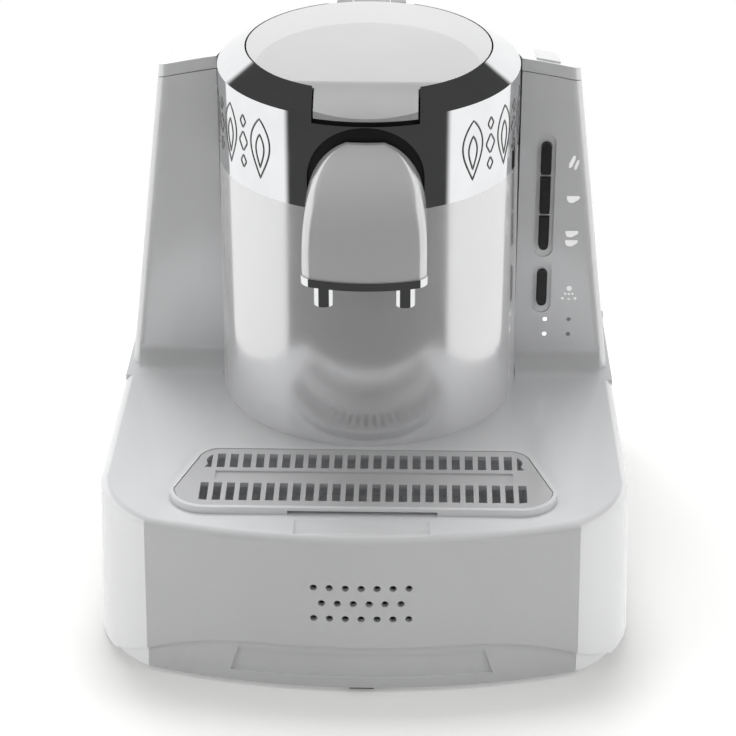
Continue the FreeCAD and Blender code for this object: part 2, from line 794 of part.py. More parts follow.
drum_clear = rod("drum_clear", "z", 0, tower_y, nose_foot - 20, tower_radius + 0.9, 120)
node("spout_cover", cut("spout_cover_all", nose_block("nose_outside", as_size(0), 0),
                        nose_block("nose_inside", nose_wall, 1), drum_clear))
rim_outer = column("rim_outer", nose_foot - rim_height,
                   nose_path(nose_half + 0.5, nose_front + 0.5, as_size(38)), rim_height)
rim_inner = column("rim_inner", nose_foot - rim_height - 1,
                   nose_path(nose_half - 2.4, nose_front - 2.4, as_size(30)), rim_height + 2)
node("spout_rim", cut("spout_rim_all", rim_outer, rim_inner, drum_clear))

manifold_front = nozzle_y + nozzle_radius + 0.4
manifold_sink = size("manifold_sink", 2.0)
manifold_foot = nose_foot - manifold_sink
manifold = box("manifold_block", 0.4 - nozzle_side - nozzle_radius - 0.8, -manifold_front, manifold_foot,
               (nozzle_side + nozzle_radius + 0.4) * 2, manifold_front - 40, 9)
drip_bores = [rod(f"drip_bore_{side}", "z", nozzle_side * side, -nozzle_y, manifold_foot - 1, nozzle_bore, 6)
              for side in (-1, 1)]
feed_bore = rod("feed_bore", "y", 0, -40, duct_level, 3, nozzle_y - 36)
cross_bore = rod("cross_bore", "x", -nozzle_side, -nozzle_y, duct_level, 2.6, nozzle_side * 2)
node("pour_manifold", cut("pour_manifold_all", manifold, drum_clear, feed_bore, cross_bore, *drip_bores))
node("pour_nozzles", group("pour_nozzles_all", *[
    pipe(f"nozzle_{index}", "z", nozzle_side * side, -nozzle_y, nose_foot - nozzle_drop, nozzle_radius,
         nozzle_bore, nozzle_drop - manifold_sink)
    for index, side in enumerate((-1, 1))]))
node("outlet_duct", pipe("outlet_duct_all", "y", 0, tower_y - 11, duct_level, duct_radius, 3,
                         tower_radius - 10.5))

# Brewing chamber, heater and outlet valve
pot_radius = size("pot_radius", 40.0)
pot_wall = size("pot_wall", 1.5)
pot_floor = size("pot_floor", 204.0)
pot_flange = size("pot_flange", 50.0)
spigot_radius = size("spigot_radius", 6.0)
spigot_bore = size("spigot_bore", 4.0)
spigot_drop = size("spigot_drop", 8.0)
pot_bend = size("pot_bend", 8.0)
node("brew_chamber", turned("brew_chamber_all", [
    (spigot_bore, pot_floor - spigot_drop), (spigot_radius, pot_floor - spigot_drop),
    (spigot_radius, pot_floor), (pot_radius - pot_bend, pot_floor),
    (pot_radius, pot_floor + pot_bend, pot_bend, "left"), (pot_radius, plate_level + 2),
    (pot_flange, plate_level + 2), (pot_flange, plate_level + 2 + pot_wall),
    (pot_radius - pot_wall, plate_level + 2 + pot_wall),
    (pot_radius - pot_wall, pot_floor + pot_bend),
    (pot_radius - pot_bend, pot_floor + pot_wall, pot_bend - pot_wall, "right"),
    (spigot_bore, pot_floor + pot_wall)], tower_y))
flange_level = plate_level + 2 + pot_wall
head_ring = turned("head_ring", [
    (pot_radius + 0.4, plate_level), (band_inner - 0.2, plate_level), (band_inner - 0.2, plate_level + 6),
    (band_inner - 2.2, plate_level + 6), (band_inner - 2.2, plate_level + 2),
    (pot_radius + 0.4, plate_level + 2)], tower_y)
plate_notch = box("plate_notch", -collar_half - 0.5, tower_y - band_inner - 6, plate_level - 1,
                  collar_half * 2 + 1, 16, 10)
node("head_plate", cut("head_plate_all", head_ring, plate_notch))
seal_top = size("seal_top", 250.6)
node("chamber_seal", turned("chamber_seal_all", [(44.5, flange_level), (49.5, flange_level),
                                                 (49.5, seal_top), (44.5, seal_top)], tower_y))
heater_outer = size("heater_outer", 31.0)
heater_inner = size("heater_inner", 13.0)
heater_thick = size("heater_thick", 5.0)
heater_level = pot_floor - heater_thick
node("heater_plate", turned("heater_plate_all", [
    (heater_inner, heater_level), (heater_outer - 1.5, heater_level), (heater_outer, heater_level + 1.5),
    (heater_outer, pot_floor), (heater_inner, pot_floor)], tower_y))
node("thermostat", fuse("thermostat_all",
                        rod("thermostat_can", "z", 22, tower_y, heater_level - 5, 7.5, 5),
                        centred_box("thermostat_tabs", 22, tower_y, heater_level - 9, 9, 2, 5)))

valve_radius = size("valve_radius", 12.0)
valve_top = pot_floor - spigot_drop
valve_seat = size("valve_seat", 3.0)
valve_floor = size("valve_floor", 172.0)
plunger_radius = size("plunger_radius", 3.4)
plunger_gap = size("plunger_gap", 0.3)
plunger_head = size("plunger_head", 6.2)
valve_room = size("valve_room", 8.0)
valve_travel = size("valve_travel", 3.5)
shaft_bore = plunger_radius + plunger_gap
seat_level = valve_top - valve_seat
node("valve_body", cut("valve_body_all", turned("valve_turned", [
    (shaft_bore, valve_floor), (valve_radius, valve_floor), (valve_radius, valve_top),
    (spigot_bore, valve_top), (spigot_bore, seat_level), (valve_room, seat_level),
    (valve_room, valve_floor + 3), (shaft_bore, valve_floor + 3)], tower_y),
    rod("valve_port", "y", 0, tower_y - 6, duct_level, duct_radius, 10)))
coil_radius = size("coil_radius", 14.0)
coil_foot = size("coil_foot", 138.0)
node("valve_solenoid", fuse("valve_solenoid_all",
                            turned("solenoid_coil", [(shaft_bore, coil_foot), (coil_radius, coil_foot),
                                                     (coil_radius, valve_floor),
                                                     (shaft_bore, valve_floor)], tower_y),
                            centred_box("solenoid_tab", 0, tower_y + coil_radius, coil_foot + 6, 12, 6,
                                        20)))
head_foot = seat_level - plunger_gap - 4
node("valve_plunger", turned("valve_plunger_all", [
    (0, coil_foot + 8), (plunger_radius, coil_foot + 8), (plunger_radius, head_foot),
    (plunger_head, head_foot), (plunger_head, head_foot + 4), (0, head_foot + 4)], tower_y))
node("valve_spring", turned("valve_spring_all", [
    (shaft_bore + 0.3, valve_floor + 3), (shaft_bore + 1.8, valve_floor + 3),
    (shaft_bore + 1.8, head_foot), (shaft_bore + 0.3, head_foot)], tower_y))

# Head lid
dome = sag_radius(lid_radius, lid_rise)
tongue_edge = size("tongue_edge", 1.3)
lid_skirt = size("lid_skirt", 5.5)
lid_disc = turned("lid_disc", [
    (0, lid_level - lid_thick), (lid_radius - 3, lid_level - lid_thick),
    (lid_radius - 3, lid_level - lid_skirt), (lid_radius, lid_level - lid_skirt), (lid_radius, lid_level),
    (0, lid_level + lid_rise, dome, "left")], tower_y)
tongue_ring = turned("tongue_ring", [
    (lid_radius - 6, lid_level - 3), (tower_radius - 6, band_top - tongue_edge),
    (tower_radius + 0.2, band_top - tongue_edge), (tower_radius + 0.2, lid_level),
    (lid_radius - 6, lid_level)], tower_y)
tongue = common("tongue", tongue_ring, centred_box("tongue_box", 0, tower_y - tower_radius + 8,
                                                   band_top - 6, tongue_half * 2, 44, 20))
fold_y = size("fold_y", 22.0)
fold_drop = size("fold_drop", 0.7)
tilt_rise = size("tilt_rise", 2.95)
roll_radius = size("roll_radius", 56.5)
tip_y = tower_y - tower_radius - 0.2
roll_path = [(tip_y, band_top + 0.1), (-fold_y, lid_level - fold_drop, roll_radius, "right"),
             (tower_y + 62, lid_level + tilt_rise), (tower_y + 62, lid_level + 20),
             (tip_y - 10, lid_level + 20), (tip_y - 10, band_top - 6)]
roll_cut = slab_to_right("roll_cut", -70, roll_path, 140)
lid_tab = box("lid_tab", -knuckle_half, hinge_y - 7.5, hinge_level - 2.6, knuckle_half * 2, 7.5, 5.2)
lid_knuckle = rod("lid_knuckle", "x", -knuckle_half, hinge_y, hinge_level, hinge_barrel,
                  knuckle_half * 2)
pin_gap = size("pin_gap", 0.05)
hinge_bore = rod("hinge_bore", "x", -30, hinge_y, hinge_level, hinge_pin_radius + pin_gap, 60)
node("lid_cover", cut("lid_cover_all",
                      fuse("lid_solid", cut("lid_rolled", fuse("lid_blank", lid_disc, tongue), roll_cut),
                           lid_tab, lid_knuckle), hinge_bore))
liner_radius = size("liner_radius", 45.8)
liner_foot = size("liner_foot", 251.2)
node("lid_liner", turned("lid_liner_all", [
    (0, liner_foot), (liner_radius - 10, liner_foot), (liner_radius, liner_foot + 1.6),
    (liner_radius, liner_foot + 3), (liner_radius + 5, liner_foot + 3),
    (liner_radius + 5, lid_level - lid_thick), (0, lid_level - lid_thick)], tower_y))
node("lid_gasket", turned("lid_gasket_all", [
    (liner_radius, liner_foot + 0.2), (liner_radius + 3.6, liner_foot), (liner_radius + 3.6, liner_foot + 3),
    (liner_radius, liner_foot + 3)], tower_y))
brackets = []
for side, left in (("left", -bracket_side), ("right", knuckle_half + 0.4)):
    width = bracket_side - knuckle_half - 0.4
    post = box(f"bracket_post_{side}", left, hinge_y - hinge_barrel, plate_level + 2, width,
               hinge_barrel * 2, hinge_level - plate_level - 2)
    barrel_end = rod(f"bracket_barrel_{side}", "x", left, hinge_y, hinge_level, hinge_barrel, width)
    brackets.append(fuse(f"bracket_{side}", post, barrel_end))
node("lid_hinge_brackets", cut("lid_hinge_brackets_all", fuse("bracket_pair", *brackets),
                               rod("bracket_bore", "x", -30, hinge_y, hinge_level, hinge_pin_radius, 60)))
node("lid_hinge_pin", rod("lid_hinge_pin_rod", "x", -bracket_side, hinge_y, hinge_level,
                          hinge_pin_radius, bracket_side * 2))
switch_x = size("switch_x", 57.0)
node("lid_switch", fuse("lid_switch_all",
                        centred_box("switch_case", switch_x, tower_y, plate_level + 2, 6, 13, 7.2),
                        centred_box("switch_key", switch_x, tower_y, plate_level + 9, 2, 2.4, 0.9)))

# Water tank, its valve and the cap over the shoulders
tank_top = size("tank_top", 193.5)
tank_width = (bay_half - tank_gap) * 2
tank_front = bay_front + tank_gap
tank_depth = back_y - housing_wall - bay_front - tank_gap * 2
tank_block = box("tank_block", tank_gap - bay_half, tank_front, tank_foot, tank_width, tank_depth,
                 tank_top - tank_foot)
tank_room = box("tank_room", tank_gap - bay_half + tank_wall, tank_front + tank_wall,
                tank_foot + tank_wall, tank_width - tank_wall * 2, tank_depth - tank_wall * 2, 200)
valve_size = size("valve_size", 7.5)
port_hole = rod("port_hole", "z", -port_x, port_y, tank_foot - 1, valve_size, tank_wall + 2)
lugs = []
lug_barrels = []
for side in (-1, 1):
    left = lug_x if side == 1 else -lug_x - lug_width
    lugs.append(box(f"lug_web_{side + 1}", left, back_y - housing_wall - tank_gap - tank_wall,
                    cap_hinge_level - cap_barrel, lug_width,
                    cap_hinge_y - back_y + housing_wall + tank_gap + tank_wall, cap_barrel * 2))
    lugs.append(rod(f"lug_barrel_{side + 1}", "x", left, cap_hinge_y, cap_hinge_level, cap_barrel,
                    lug_width))
cap_pin_radius = size("cap_pin_radius", 1.2)
node("tank_body", cut("tank_body_all", fuse("tank_solid", cut("tank_shell", tank_block, tank_room,
                                                              port_hole), *lugs),
                      rod("lug_bore", "x", -90, cap_hinge_y, cap_hinge_level, cap_pin_radius, 180)))
node("tank_valve", fuse("tank_valve_all",
                        rod("tank_valve_stem", "z", -port_x, port_y, tank_foot - 3, valve_size,
                            tank_wall + 3),
                        rod("tank_valve_cap", "z", -port_x, port_y, tank_foot + tank_wall,
                            valve_size + 2.5, 3)))
node("tank_seat", pipe("tank_seat_ring", "z", -port_x, port_y, deck_level + housing_wall, valve_size + 4,
                       valve_size + 0.6, tank_foot - deck_level - housing_wall))
rest_x = size("rest_x", 60.0)
node("tank_rests", group("tank_rests_all", *[
    centred_box(f"tank_rest_{index}", x, port_y, deck_level + housing_wall, 6, 20,
                tank_foot - deck_level - housing_wall)
    for index, x in enumerate((rest_x, rest_x * 0.2))]))

cap_gap = size("cap_gap", 1.5)
cap_blank = common("cap_blank", shoulder_block("cap_prism", deck_level - 1), barrel("cap_barrel_top",
                                                                                     cap_radius))
cap_under = barrel("cap_under", seam_radius + seam_gap)
cap_opening = rod("cap_opening", "z", 0, tower_y, deck_level, tower_radius + cap_gap, 200)
cap_low = box("cap_low", -base_half, -base_front, 0, base_half * 2, base_front * 2, deck_level + 60)
arms = []
for side in (-1, 1):
    left = lug_x + lug_width + lug_gap if side == 1 else -lug_x - lug_width * 2 - lug_gap
    arms.append(box(f"arm_web_{side + 1}", left, back_y - housing_wall + 0.4, cap_hinge_level, lug_width,
                    cap_hinge_y + cap_barrel - back_y + housing_wall - 0.4, 14))
    arms.append(rod(f"arm_barrel_{side + 1}", "x", left, cap_hinge_y, cap_hinge_level, cap_barrel,
                    lug_width))
cap_shell = cut("cap_shell", cap_blank, cap_under, cap_opening, cap_low)
node("tank_lid", cut("tank_lid_all", fuse("tank_lid_solid", cap_shell, *arms),
                     rod("arm_bore", "x", -90, cap_hinge_y, cap_hinge_level, cap_pin_radius + pin_gap,
                         180)))
node("tank_lid_pins", group("tank_lid_pins_all", *[
    rod(f"cap_pin_{index}", "x", left, cap_hinge_y, cap_hinge_level, cap_pin_radius,
        lug_width * 2 + lug_gap)
    for index, left in enumerate((lug_x, -lug_x - lug_width * 2 - lug_gap))]))
tab_margin = size("tab_margin", 16.3)
tab_x = shoulder_half - tab_margin
tab_width = size("tab_width", 11.5)
node("tank_lid_tab", cut("tank_lid_tab_all",
                         common("tab_common", barrel("tab_outer", cap_radius + 0.8),
                                box("tab_box", tab_x - tab_width / 2, face_y + 3, 230, tab_width, 26, 40)),
                         barrel("tab_inner", cap_radius)))

# Drip tray and grille
tray_floor = size("tray_floor", 2.2)
ledge = size("ledge", 5.2)
flange = column("tray_flange", deck_level, tray_path(as_size(0)), tray_level - deck_level)
tub_inset = well_inset + tray_gap
tub = column("tray_tub", tray_level - tray_depth, tray_path(tub_inset), tray_depth - 2)
tub_room = column("tray_room", tray_level - tray_depth + tray_floor, tray_path(tub_inset + tray_wall),
                  tray_depth + 4)
grille_seat = column("grille_seat", tray_level - grille_thick - 0.3, tray_path(tray_wall), 20)
finger_half = size("finger_half", 34.5)
finger_slot = centred_box("finger_slot", 0, 4 - tray_front, deck_level - 1, finger_half * 2, 12, 3)
finger_web = column("finger_web", deck_level - 1, tray_path(tub_inset + 0.4), 3)
node("drip_tray", cut("drip_tray_all", fuse("tray_solid", flange, tub), tub_room, grille_seat,
                      cut("finger_gap", finger_slot, finger_web)))

plate_foot = tray_level - grille_thick - 0.3
grille_plate = column("grille_plate", plate_foot, tray_path(tray_wall + 0.4), grille_thick)
slot_field = column("slot_field", plate_foot - 1, tray_path(tray_wall + 0.4 + grille_rim),
                    grille_thick + 2)
front_row = [size("front_row_front", 107.0), size("front_row_back", 90.0)]
back_row = [size("back_row_front", 76.0), size("back_row_back", 61.5)]
bars = []
for name, (front, back) in (("front", front_row), ("back", back_row)):
    for step in range(-slot_half_count, slot_half_count + 1):
        bars.append(centred_box(f"slot_{name}_{step + slot_half_count}", slot_pitch * step,
                                -(front + back) / 2, plate_foot - 1, slot_width, front - back,
                                grille_thick + 2))
slot_set = doc.addObject("Part::Compound", "slot_set")
slot_set.Links = bars
channel = box("grille_channel", -tray_back_half, -front_row[1] + 3, plate_foot + grille_thick - 0.9,
              tray_back_half * 2, front_row[1] - back_row[0] - 6, 4)
node("drip_grille", cut("drip_grille_all", grille_plate, common("slot_tools", slot_set, slot_field),
                        channel))

# Buttons, switches and lamps
for index, name in enumerate(button_names):
    bar = slab_to_front(f"{name}_bar", face_y + housing_wall + 0.5, button_path(index, as_size(0)),
                        housing_wall + 0.5 + button_proud)
    flange_plate = box(f"{name}_flange", button_x - button_half - 1.8, face_y + housing_wall + 0.2,
                       button_feet[index] + 0.5, button_half * 2 + 3.6, 1.3,
                       button_tops[index] - button_feet[index] - 1)
    node(name, fuse(f"{name}_all", bar, flange_plate))
board_gap = size("board_gap", 1.6)
switch_y = face_y + housing_wall + 1.5 + board_gap
node("tact_switches", group("tact_switches_all", *[
    centred_box(f"tact_switch_{index}", button_x, switch_y + 1.8,
                (button_tops[index] + button_feet[index]) / 2 - 3, 6, 3.6, 6)
    for index in range(4)]))
button_board_y = switch_y + 3.6
button_plate = box("button_plate", button_x - 10, button_board_y, 96, 26, 1.6, 118)
board_pegs = [rod(f"board_peg_{index}", "y", button_x + 8, button_board_y, z, 2.5,
                  button_board_y - face_y - housing_wall)
              for index, z in enumerate((125.0, 200.0))]
node("button_board", fuse("button_board_all", button_plate, *board_pegs))
node("indicator_lenses", group("indicator_lenses_all", *[
    rod(f"lens_{row}_{side}", "y", x, button_board_y, z, lens_radius - 0.05, button_board_y - face_y)
    for row, z in enumerate(lens_levels) for side, x in enumerate(lens_sides)]))

# Pump, hoses, boards and inlet in the base
pump_radius = size("pump_radius", 17.0)
pump_level = size("pump_level", 30.0)
pump_back = size("pump_back", 88.0)
pump_length = size("pump_length", 58.0)
pump_spigot = size("pump_spigot", 4.0)
node("water_pump", fuse("water_pump_all",
                        rod("pump_coil", "y", -port_x, pump_back, pump_level, pump_radius, pump_length),
                        rod("pump_in", "y", -port_x, pump_back + 6, pump_level, pump_spigot, 7),
                        rod("pump_out", "y", -port_x, pump_back - pump_length, pump_level, pump_spigot,
                            7)))
cradles = []
for index, share in enumerate((0.2, 0.8)):
    cradles.append(cut(f"cradle_{index}",
                       centred_box(f"cradle_block_{index}", -port_x, pump_back - pump_length * share,
                                   foot_height + pan_floor, pump_radius * 2 + 6, 8,
                                   pump_level - foot_height - pan_floor + 6),
                       rod(f"cradle_bore_{index}", "y", -port_x, pump_back + 5, pump_level, pump_radius,
                           pump_length + 10)))
node("pump_cradles", group("pump_cradles_all", *cradles))


def hose(name, radius, x, path):
    """A round hose along an open path in a fore-and-aft plane; it starts pointing up or down."""
    body = doc.addObject("PartDesign::Body", name)
    spine = new_sketch(body, "YZ_Plane", x)
    for index in range(1, len(path)):
        before = [as_size(measure) for measure in path[index - 1][:2]]
        step = path[index]
        start = FreeCAD.Vector(before[0].value, before[1].value, 0)
        end = FreeCAD.Vector(as_size(step[0]).value, as_size(step[1]).value, 0)
        if len(step) == 2:
            edge = spine.addGeometry(Part.LineSegment(start, end), False)
            ends = [(edge, 1), (edge, 2)]
        else:
            radius_size = as_size(step[2])
            edge = spine.addGeometry(arc_between(start, end, radius_size.value, step[3]), False)
            ends = [(edge, 1), (edge, 2)] if step[3] == "left" else [(edge, 2), (edge, 1)]
            bend = spine.addConstraint(Sketcher.Constraint("Radius", edge, radius_size.value))
            spine.setExpression(f"Constraints[{bend}]", radius_size.text)
        if index > 1:
            spine.addConstraint(Sketcher.Constraint("Coincident", *last, *ends[0]))
        marks = [(ends[1], step)] if index > 1 else [(ends[0], path[0]), (ends[1], step)]
        for mark, corner in marks:
            for kind, measure in (("DistanceX", as_size(corner[0])), ("DistanceY", as_size(corner[1]))):
                pinned = spine.addConstraint(Sketcher.Constraint(kind, -1, 1, *mark, measure.value))
                spine.setExpression(f"Constraints[{pinned}]", measure.text)
        last = ends[1]
    profile = new_sketch(body, "XY_Plane", path[0][1])
    ring(profile, x, path[0][0], radius)
    sweep = body.newObject("PartDesign::AdditivePipe", name + "_sweep")
    sweep.Profile = profile
    sweep.Spine = (spine, [f"Edge{index}" for index in range(1, len(path))])
    return body


hose_bend = size("hose_bend", 14.0)
inlet_y = pump_back + 6
outlet_y = pump_back - pump_length - 7
node("suction_hose", hose("suction_hose_all", hose_radius, -port_x,
                          [(port_y, deck_level + housing_wall), (port_y, pump_level + hose_bend),
                           (port_y - hose_bend, pump_level, hose_bend, "right"),
                           (inlet_y, pump_level)]))
node("pressure_hose", hose("pressure_hose_all", hose_radius, -port_x,
                           [(outlet_y - hose_bend - 4, plate_level),
                            (outlet_y - hose_bend - 4, pump_level + hose_bend),
                            (outlet_y - 4, pump_level, hose_bend, "left"),
                            (outlet_y, pump_level)]))

board_top = board_level + 1.6
node("control_board", fuse("control_board_all",
                           box("control_plate", board_x, board_y, board_level, board_length, board_width,
                               1.6),
                           box("transformer", board_x + 8, board_y + 12, board_top, 30, 26, 22),
                           box("relay_left", board_x + 46, board_y + 10, board_top, 14, 18, 15),
                           box("relay_right", board_x + 64, board_y + 10, board_top, 14, 18, 15),
                           rod("capacitor", "z", board_x + 54, board_y + 44, board_top, 6, 20)))
buzzer_radius = size("buzzer_radius", 11.0)
buzzer_y = shell_wall + 2.4 - base_front
node("buzzer", rod("buzzer_can", "y", 0, buzzer_y + 9, vent_level, buzzer_radius, 9))
node("cable_inlet", pipe("cable_inlet_sleeve", "y", gland_x, base_rear - 0.4, gland_level, gland_radius,
                         cable_bore, 16))


# Export
doc.recompute()
for item in doc.Objects:
    if {"Invalid", "Error"} & set(item.State):
        raise RuntimeError(f"{item.Label} is in the state {item.State}")
for item in nodes:
    if item.Shape.isNull() or not item.Shape.isValid():
        raise RuntimeError(f"{item.Label} has no valid shape")
    item.Shape.exportStep(f"parts/{item.Label}.step")
    bounds = item.Shape.BoundBox
    print(item.Label, len(item.Shape.Solids), round(item.Shape.Volume), bounds)
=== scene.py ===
"""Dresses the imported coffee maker: finishes, band ornament, key symbols and a pale studio."""

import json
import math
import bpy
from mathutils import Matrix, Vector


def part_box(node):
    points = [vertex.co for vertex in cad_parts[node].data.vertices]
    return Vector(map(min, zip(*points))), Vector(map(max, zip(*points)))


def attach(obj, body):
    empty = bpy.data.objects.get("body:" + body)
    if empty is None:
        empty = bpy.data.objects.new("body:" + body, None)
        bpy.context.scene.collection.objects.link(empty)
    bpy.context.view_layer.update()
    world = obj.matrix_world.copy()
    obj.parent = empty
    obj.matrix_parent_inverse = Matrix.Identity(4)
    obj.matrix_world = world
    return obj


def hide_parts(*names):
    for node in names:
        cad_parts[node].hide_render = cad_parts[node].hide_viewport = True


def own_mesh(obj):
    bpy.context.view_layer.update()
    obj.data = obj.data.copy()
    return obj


bl_info = {
    "name": "Two-Cup Coffee Maker",
    "version": (1, 0, 0),
    "blender": (4, 5, 0),
    "location": "3D View > Sidebar > Coffee Maker",
    "description": "Finishes, band ornament, key symbols and studio for a two-cup coffee maker",
    "category": "Object",
}

import bpy
from bpy.props import FloatProperty, FloatVectorProperty, IntProperty, PointerProperty
from mathutils import Vector

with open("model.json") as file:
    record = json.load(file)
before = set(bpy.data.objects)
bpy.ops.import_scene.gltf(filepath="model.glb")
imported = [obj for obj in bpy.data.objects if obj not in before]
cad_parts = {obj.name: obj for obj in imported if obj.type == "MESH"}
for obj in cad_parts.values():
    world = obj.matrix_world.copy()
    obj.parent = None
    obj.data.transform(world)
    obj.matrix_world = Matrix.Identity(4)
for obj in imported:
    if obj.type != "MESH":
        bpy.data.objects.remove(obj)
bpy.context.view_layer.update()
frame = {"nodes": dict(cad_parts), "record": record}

SLOT_OF_NODE = {piece["node"]: piece["material_slot"] for piece in frame["record"]["subparts"]}
BAND_LOW, BAND_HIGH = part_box("chrome_band")
TOWER_RADIUS = BAND_HIGH.x
TOWER_Y = BAND_HIGH.y - TOWER_RADIUS
BAND_TOP = BAND_HIGH.z
BAND_FOOT = BAND_LOW.z
BEVEL_HEIGHT = 0.0085
KEY_LOW, KEY_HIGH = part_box("one_cup_button")
FACE_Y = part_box("indicator_lenses")[0].y
PLAIN_WHITE = (1.0, 1.0, 1.0, 1.0)

# Across a drawn line: share of its width, share of its relief
LINE_SECTION = ((-0.5, 0.0), (-0.32, 0.7), (0.0, 1.0), (0.32, 0.7), (0.5, 0.0))
# How far a printed patch reaches into the wall behind it
PATCH_SINK = 0.00005
# Lozenges between two leaves: height as a share of the leaf, half width
LOZENGES = ((-0.34, 0.0022), (0.0, 0.0034), (0.34, 0.0022))
# Drops of the spray symbol: distance aside, distance down, radius
SPRAY_DROPS = ((-0.0018, 0.0030, 0.00055), (0.0, 0.0032, 0.00055), (0.0018, 0.0030, 0.00055),
               (-0.0032, 0.0056, 0.0007), (0.0, 0.0060, 0.0006), (0.0032, 0.0056, 0.0007))


# Kinds of setting, and the sizes and colours that a user would change
def colour(name, description, default):
    return FloatVectorProperty(name=name, description=description, default=default, subtype="COLOR",
                               size=3, min=0.0, max=1.0)


def share(name, description, default):
    return FloatProperty(name=name, description=description, default=default, min=0.0, max=1.0)


def length(name, description, default):
    return FloatProperty(name=name, description=description, default=default, unit="LENGTH",
                         precision=5)


def angle(name, description, default):
    return FloatProperty(name=name, description=description, default=math.radians(default),
                         unit="ROTATION")


class LacquerSettings(bpy.types.PropertyGroup):
    """Colours and gloss of the silver mouldings."""
    shell: colour("Shell", "Silver lacquer of the base, shoulders and cap", (0.83, 0.835, 0.845))
    tower: colour("Tower", "Brighter silver of the tower", (0.84, 0.84, 0.85))
    lid: colour("Lid", "Grey silver of the head lid", (0.62, 0.62, 0.625))
    nose: colour("Nose", "Satin silver of the spout cover", (0.78, 0.78, 0.785))
    grille: colour("Grille", "Silver of the grille and the cap tab", (0.70, 0.70, 0.71))
    metal: share("Metal share", "How much the lacquer reflects like metal", 0.22)
    roughness: share("Roughness", "Roughness of the lacquer under its clear coat", 0.24)
    coat: share("Clear coat", "Strength of the clear coat", 0.6)


class OrnamentSettings(bpy.types.PropertyGroup):
    """Sizes of the leaf ornament on the chrome band."""
    height: length("Leaf height", "Height of one leaf", 0.0295)
    width: length("Leaf width", "Width of one leaf", 0.0125)
    line: length("Line width", "Width of the drawn line", 0.00105)
    relief: length("Relief", "How far the line stands out of the band", 0.0003)
    first: angle("First leaf", "Angle of the first leaf from the front", 43.0)
    step: angle("Leaf spacing", "Angle between leaves", 19.5)
    leaves: IntProperty(name="Leaves", description="Leaves on each side", default=3, min=1, max=4)


class SymbolSettings(bpy.types.PropertyGroup):
    """Sizes of the printed key symbols."""
    ink: colour("Ink", "Colour of the printed symbols", (0.93, 0.93, 0.93))
    offset: length("Offset", "Distance from the keys to the symbols", 0.0137)
    width: length("Cup width", "Width of a cup symbol", 0.0060)
    height: length("Cup height", "Height of a cup symbol", 0.0050)
    thickness: length("Ink thickness", "How far the ink stands on the wall", 0.00006)


class StudioSettings(bpy.types.PropertyGroup):
    """Camera, lamps and backdrop."""
    distance: length("Camera distance", "From the camera to its aim point", 1.241)
    elevation: angle("Camera elevation", "Angle of the camera above the floor", 28.4)
    azimuth: angle("Camera azimuth", "Angle of the camera to the right of the front", 1.3)
    lens: FloatProperty(name="Lens", description="Focal length on a 36 mm sensor, in mm",
                        default=121.8, min=10.0, max=400.0)
    aim: FloatVectorProperty(name="Aim", description="Point that the camera looks at", size=3,
                             default=(0.0, 0.0042, 0.098), subtype="TRANSLATION", unit="LENGTH")
    side_lamp: FloatProperty(name="Side lamps", description="Power of each side lamp", default=3.6,
                             min=0.0, unit="POWER")
    top_lamp: FloatProperty(name="Top lamp", description="Power of the lamp overhead", default=13.5,
                            min=0.0, unit="POWER")
    room: FloatProperty(name="Room light", description="Strength of the even room light",
                        default=0.36, min=0.0)
    dark_card: share("Dark card", "How bright the front and the ceiling look in the gloss", 0.055)
    shadow_reach: length("Shadow reach", "Distance at which the floor starts to fade to white", 0.22)
    floor: colour("Floor", "Colour of the floor", (0.92, 0.915, 0.905))


SETTINGS = {
    "maker_lacquer": LacquerSettings,
    "maker_ornament": OrnamentSettings,
    "maker_symbols": SymbolSettings,
    "maker_studio": StudioSettings,
}


# Node helpers for the finishes
def node_in(tree, kind, **settings):
    """A new node with these settings."""
    made = tree.nodes.new(kind)
    for name, value in settings.items():
        setattr(made, name, value)
    return made


def fresh_finish(name, base, roughness, metallic=0.0, **sockets):
    """A material with one Principled shader; returns the material, its tree and its shader."""
    material = bpy.data.materials.new(name)
    material.use_nodes = True
    tree = material.node_tree
    tree.nodes.clear()
    shader = node_in(tree, "ShaderNodeBsdfPrincipled")
    output = node_in(tree, "ShaderNodeOutputMaterial")
    tree.links.new(shader.outputs["BSDF"], output.inputs["Surface"])
    shader.inputs["Base Color"].default_value = (*base, 1.0)
    shader.inputs["Roughness"].default_value = roughness
    shader.inputs["Metallic"].default_value = metallic
    for socket, value in sockets.items():
        shader.inputs[socket.replace("_", " ")].default_value = value
    return material, tree, shader


def placed(tree, stretch=(1.0, 1.0, 1.0)):
    """Object coordinates, stretched along each axis."""
    coordinates = node_in(tree, "ShaderNodeTexCoord")
    mapping = node_in(tree, "ShaderNodeMapping")
    mapping.inputs["Scale"].default_value = stretch
    tree.links.new(coordinates.outputs["Object"], mapping.inputs["Vector"])
    return mapping.outputs["Vector"]


def computed(tree, operation, first, second=None):
    """The result of one maths step; second is a socket, a number or nothing."""
    step = node_in(tree, "ShaderNodeMath", operation=operation)
    tree.links.new(first, step.inputs[0])
    if isinstance(second, float):
        step.inputs[1].default_value = second
    elif second is not None:
        tree.links.new(second, step.inputs[1])
    return step.outputs["Value"]


def spread_range(tree, value, source, target=(0.0, 1.0), smooth=False):
    """Maps a value from one range to another, straight or with soft ends."""
    made = node_in(tree, "ShaderNodeMapRange", interpolation_type="SMOOTHSTEP" if smooth else "LINEAR")
    made.inputs["From Min"].default_value, made.inputs["From Max"].default_value = source
    made.inputs["To Min"].default_value, made.inputs["To Max"].default_value = target
    tree.links.new(value, made.inputs["Value"])
    return made.outputs["Result"]


def mixed(tree, factor, first, second):
    """Two shaders mixed by a factor."""
    made = node_in(tree, "ShaderNodeMixShader")
    tree.links.new(factor, made.inputs["Fac"])
    tree.links.new(first, made.inputs[1])
    tree.links.new(second, made.inputs[2])
    return made.outputs["Shader"]


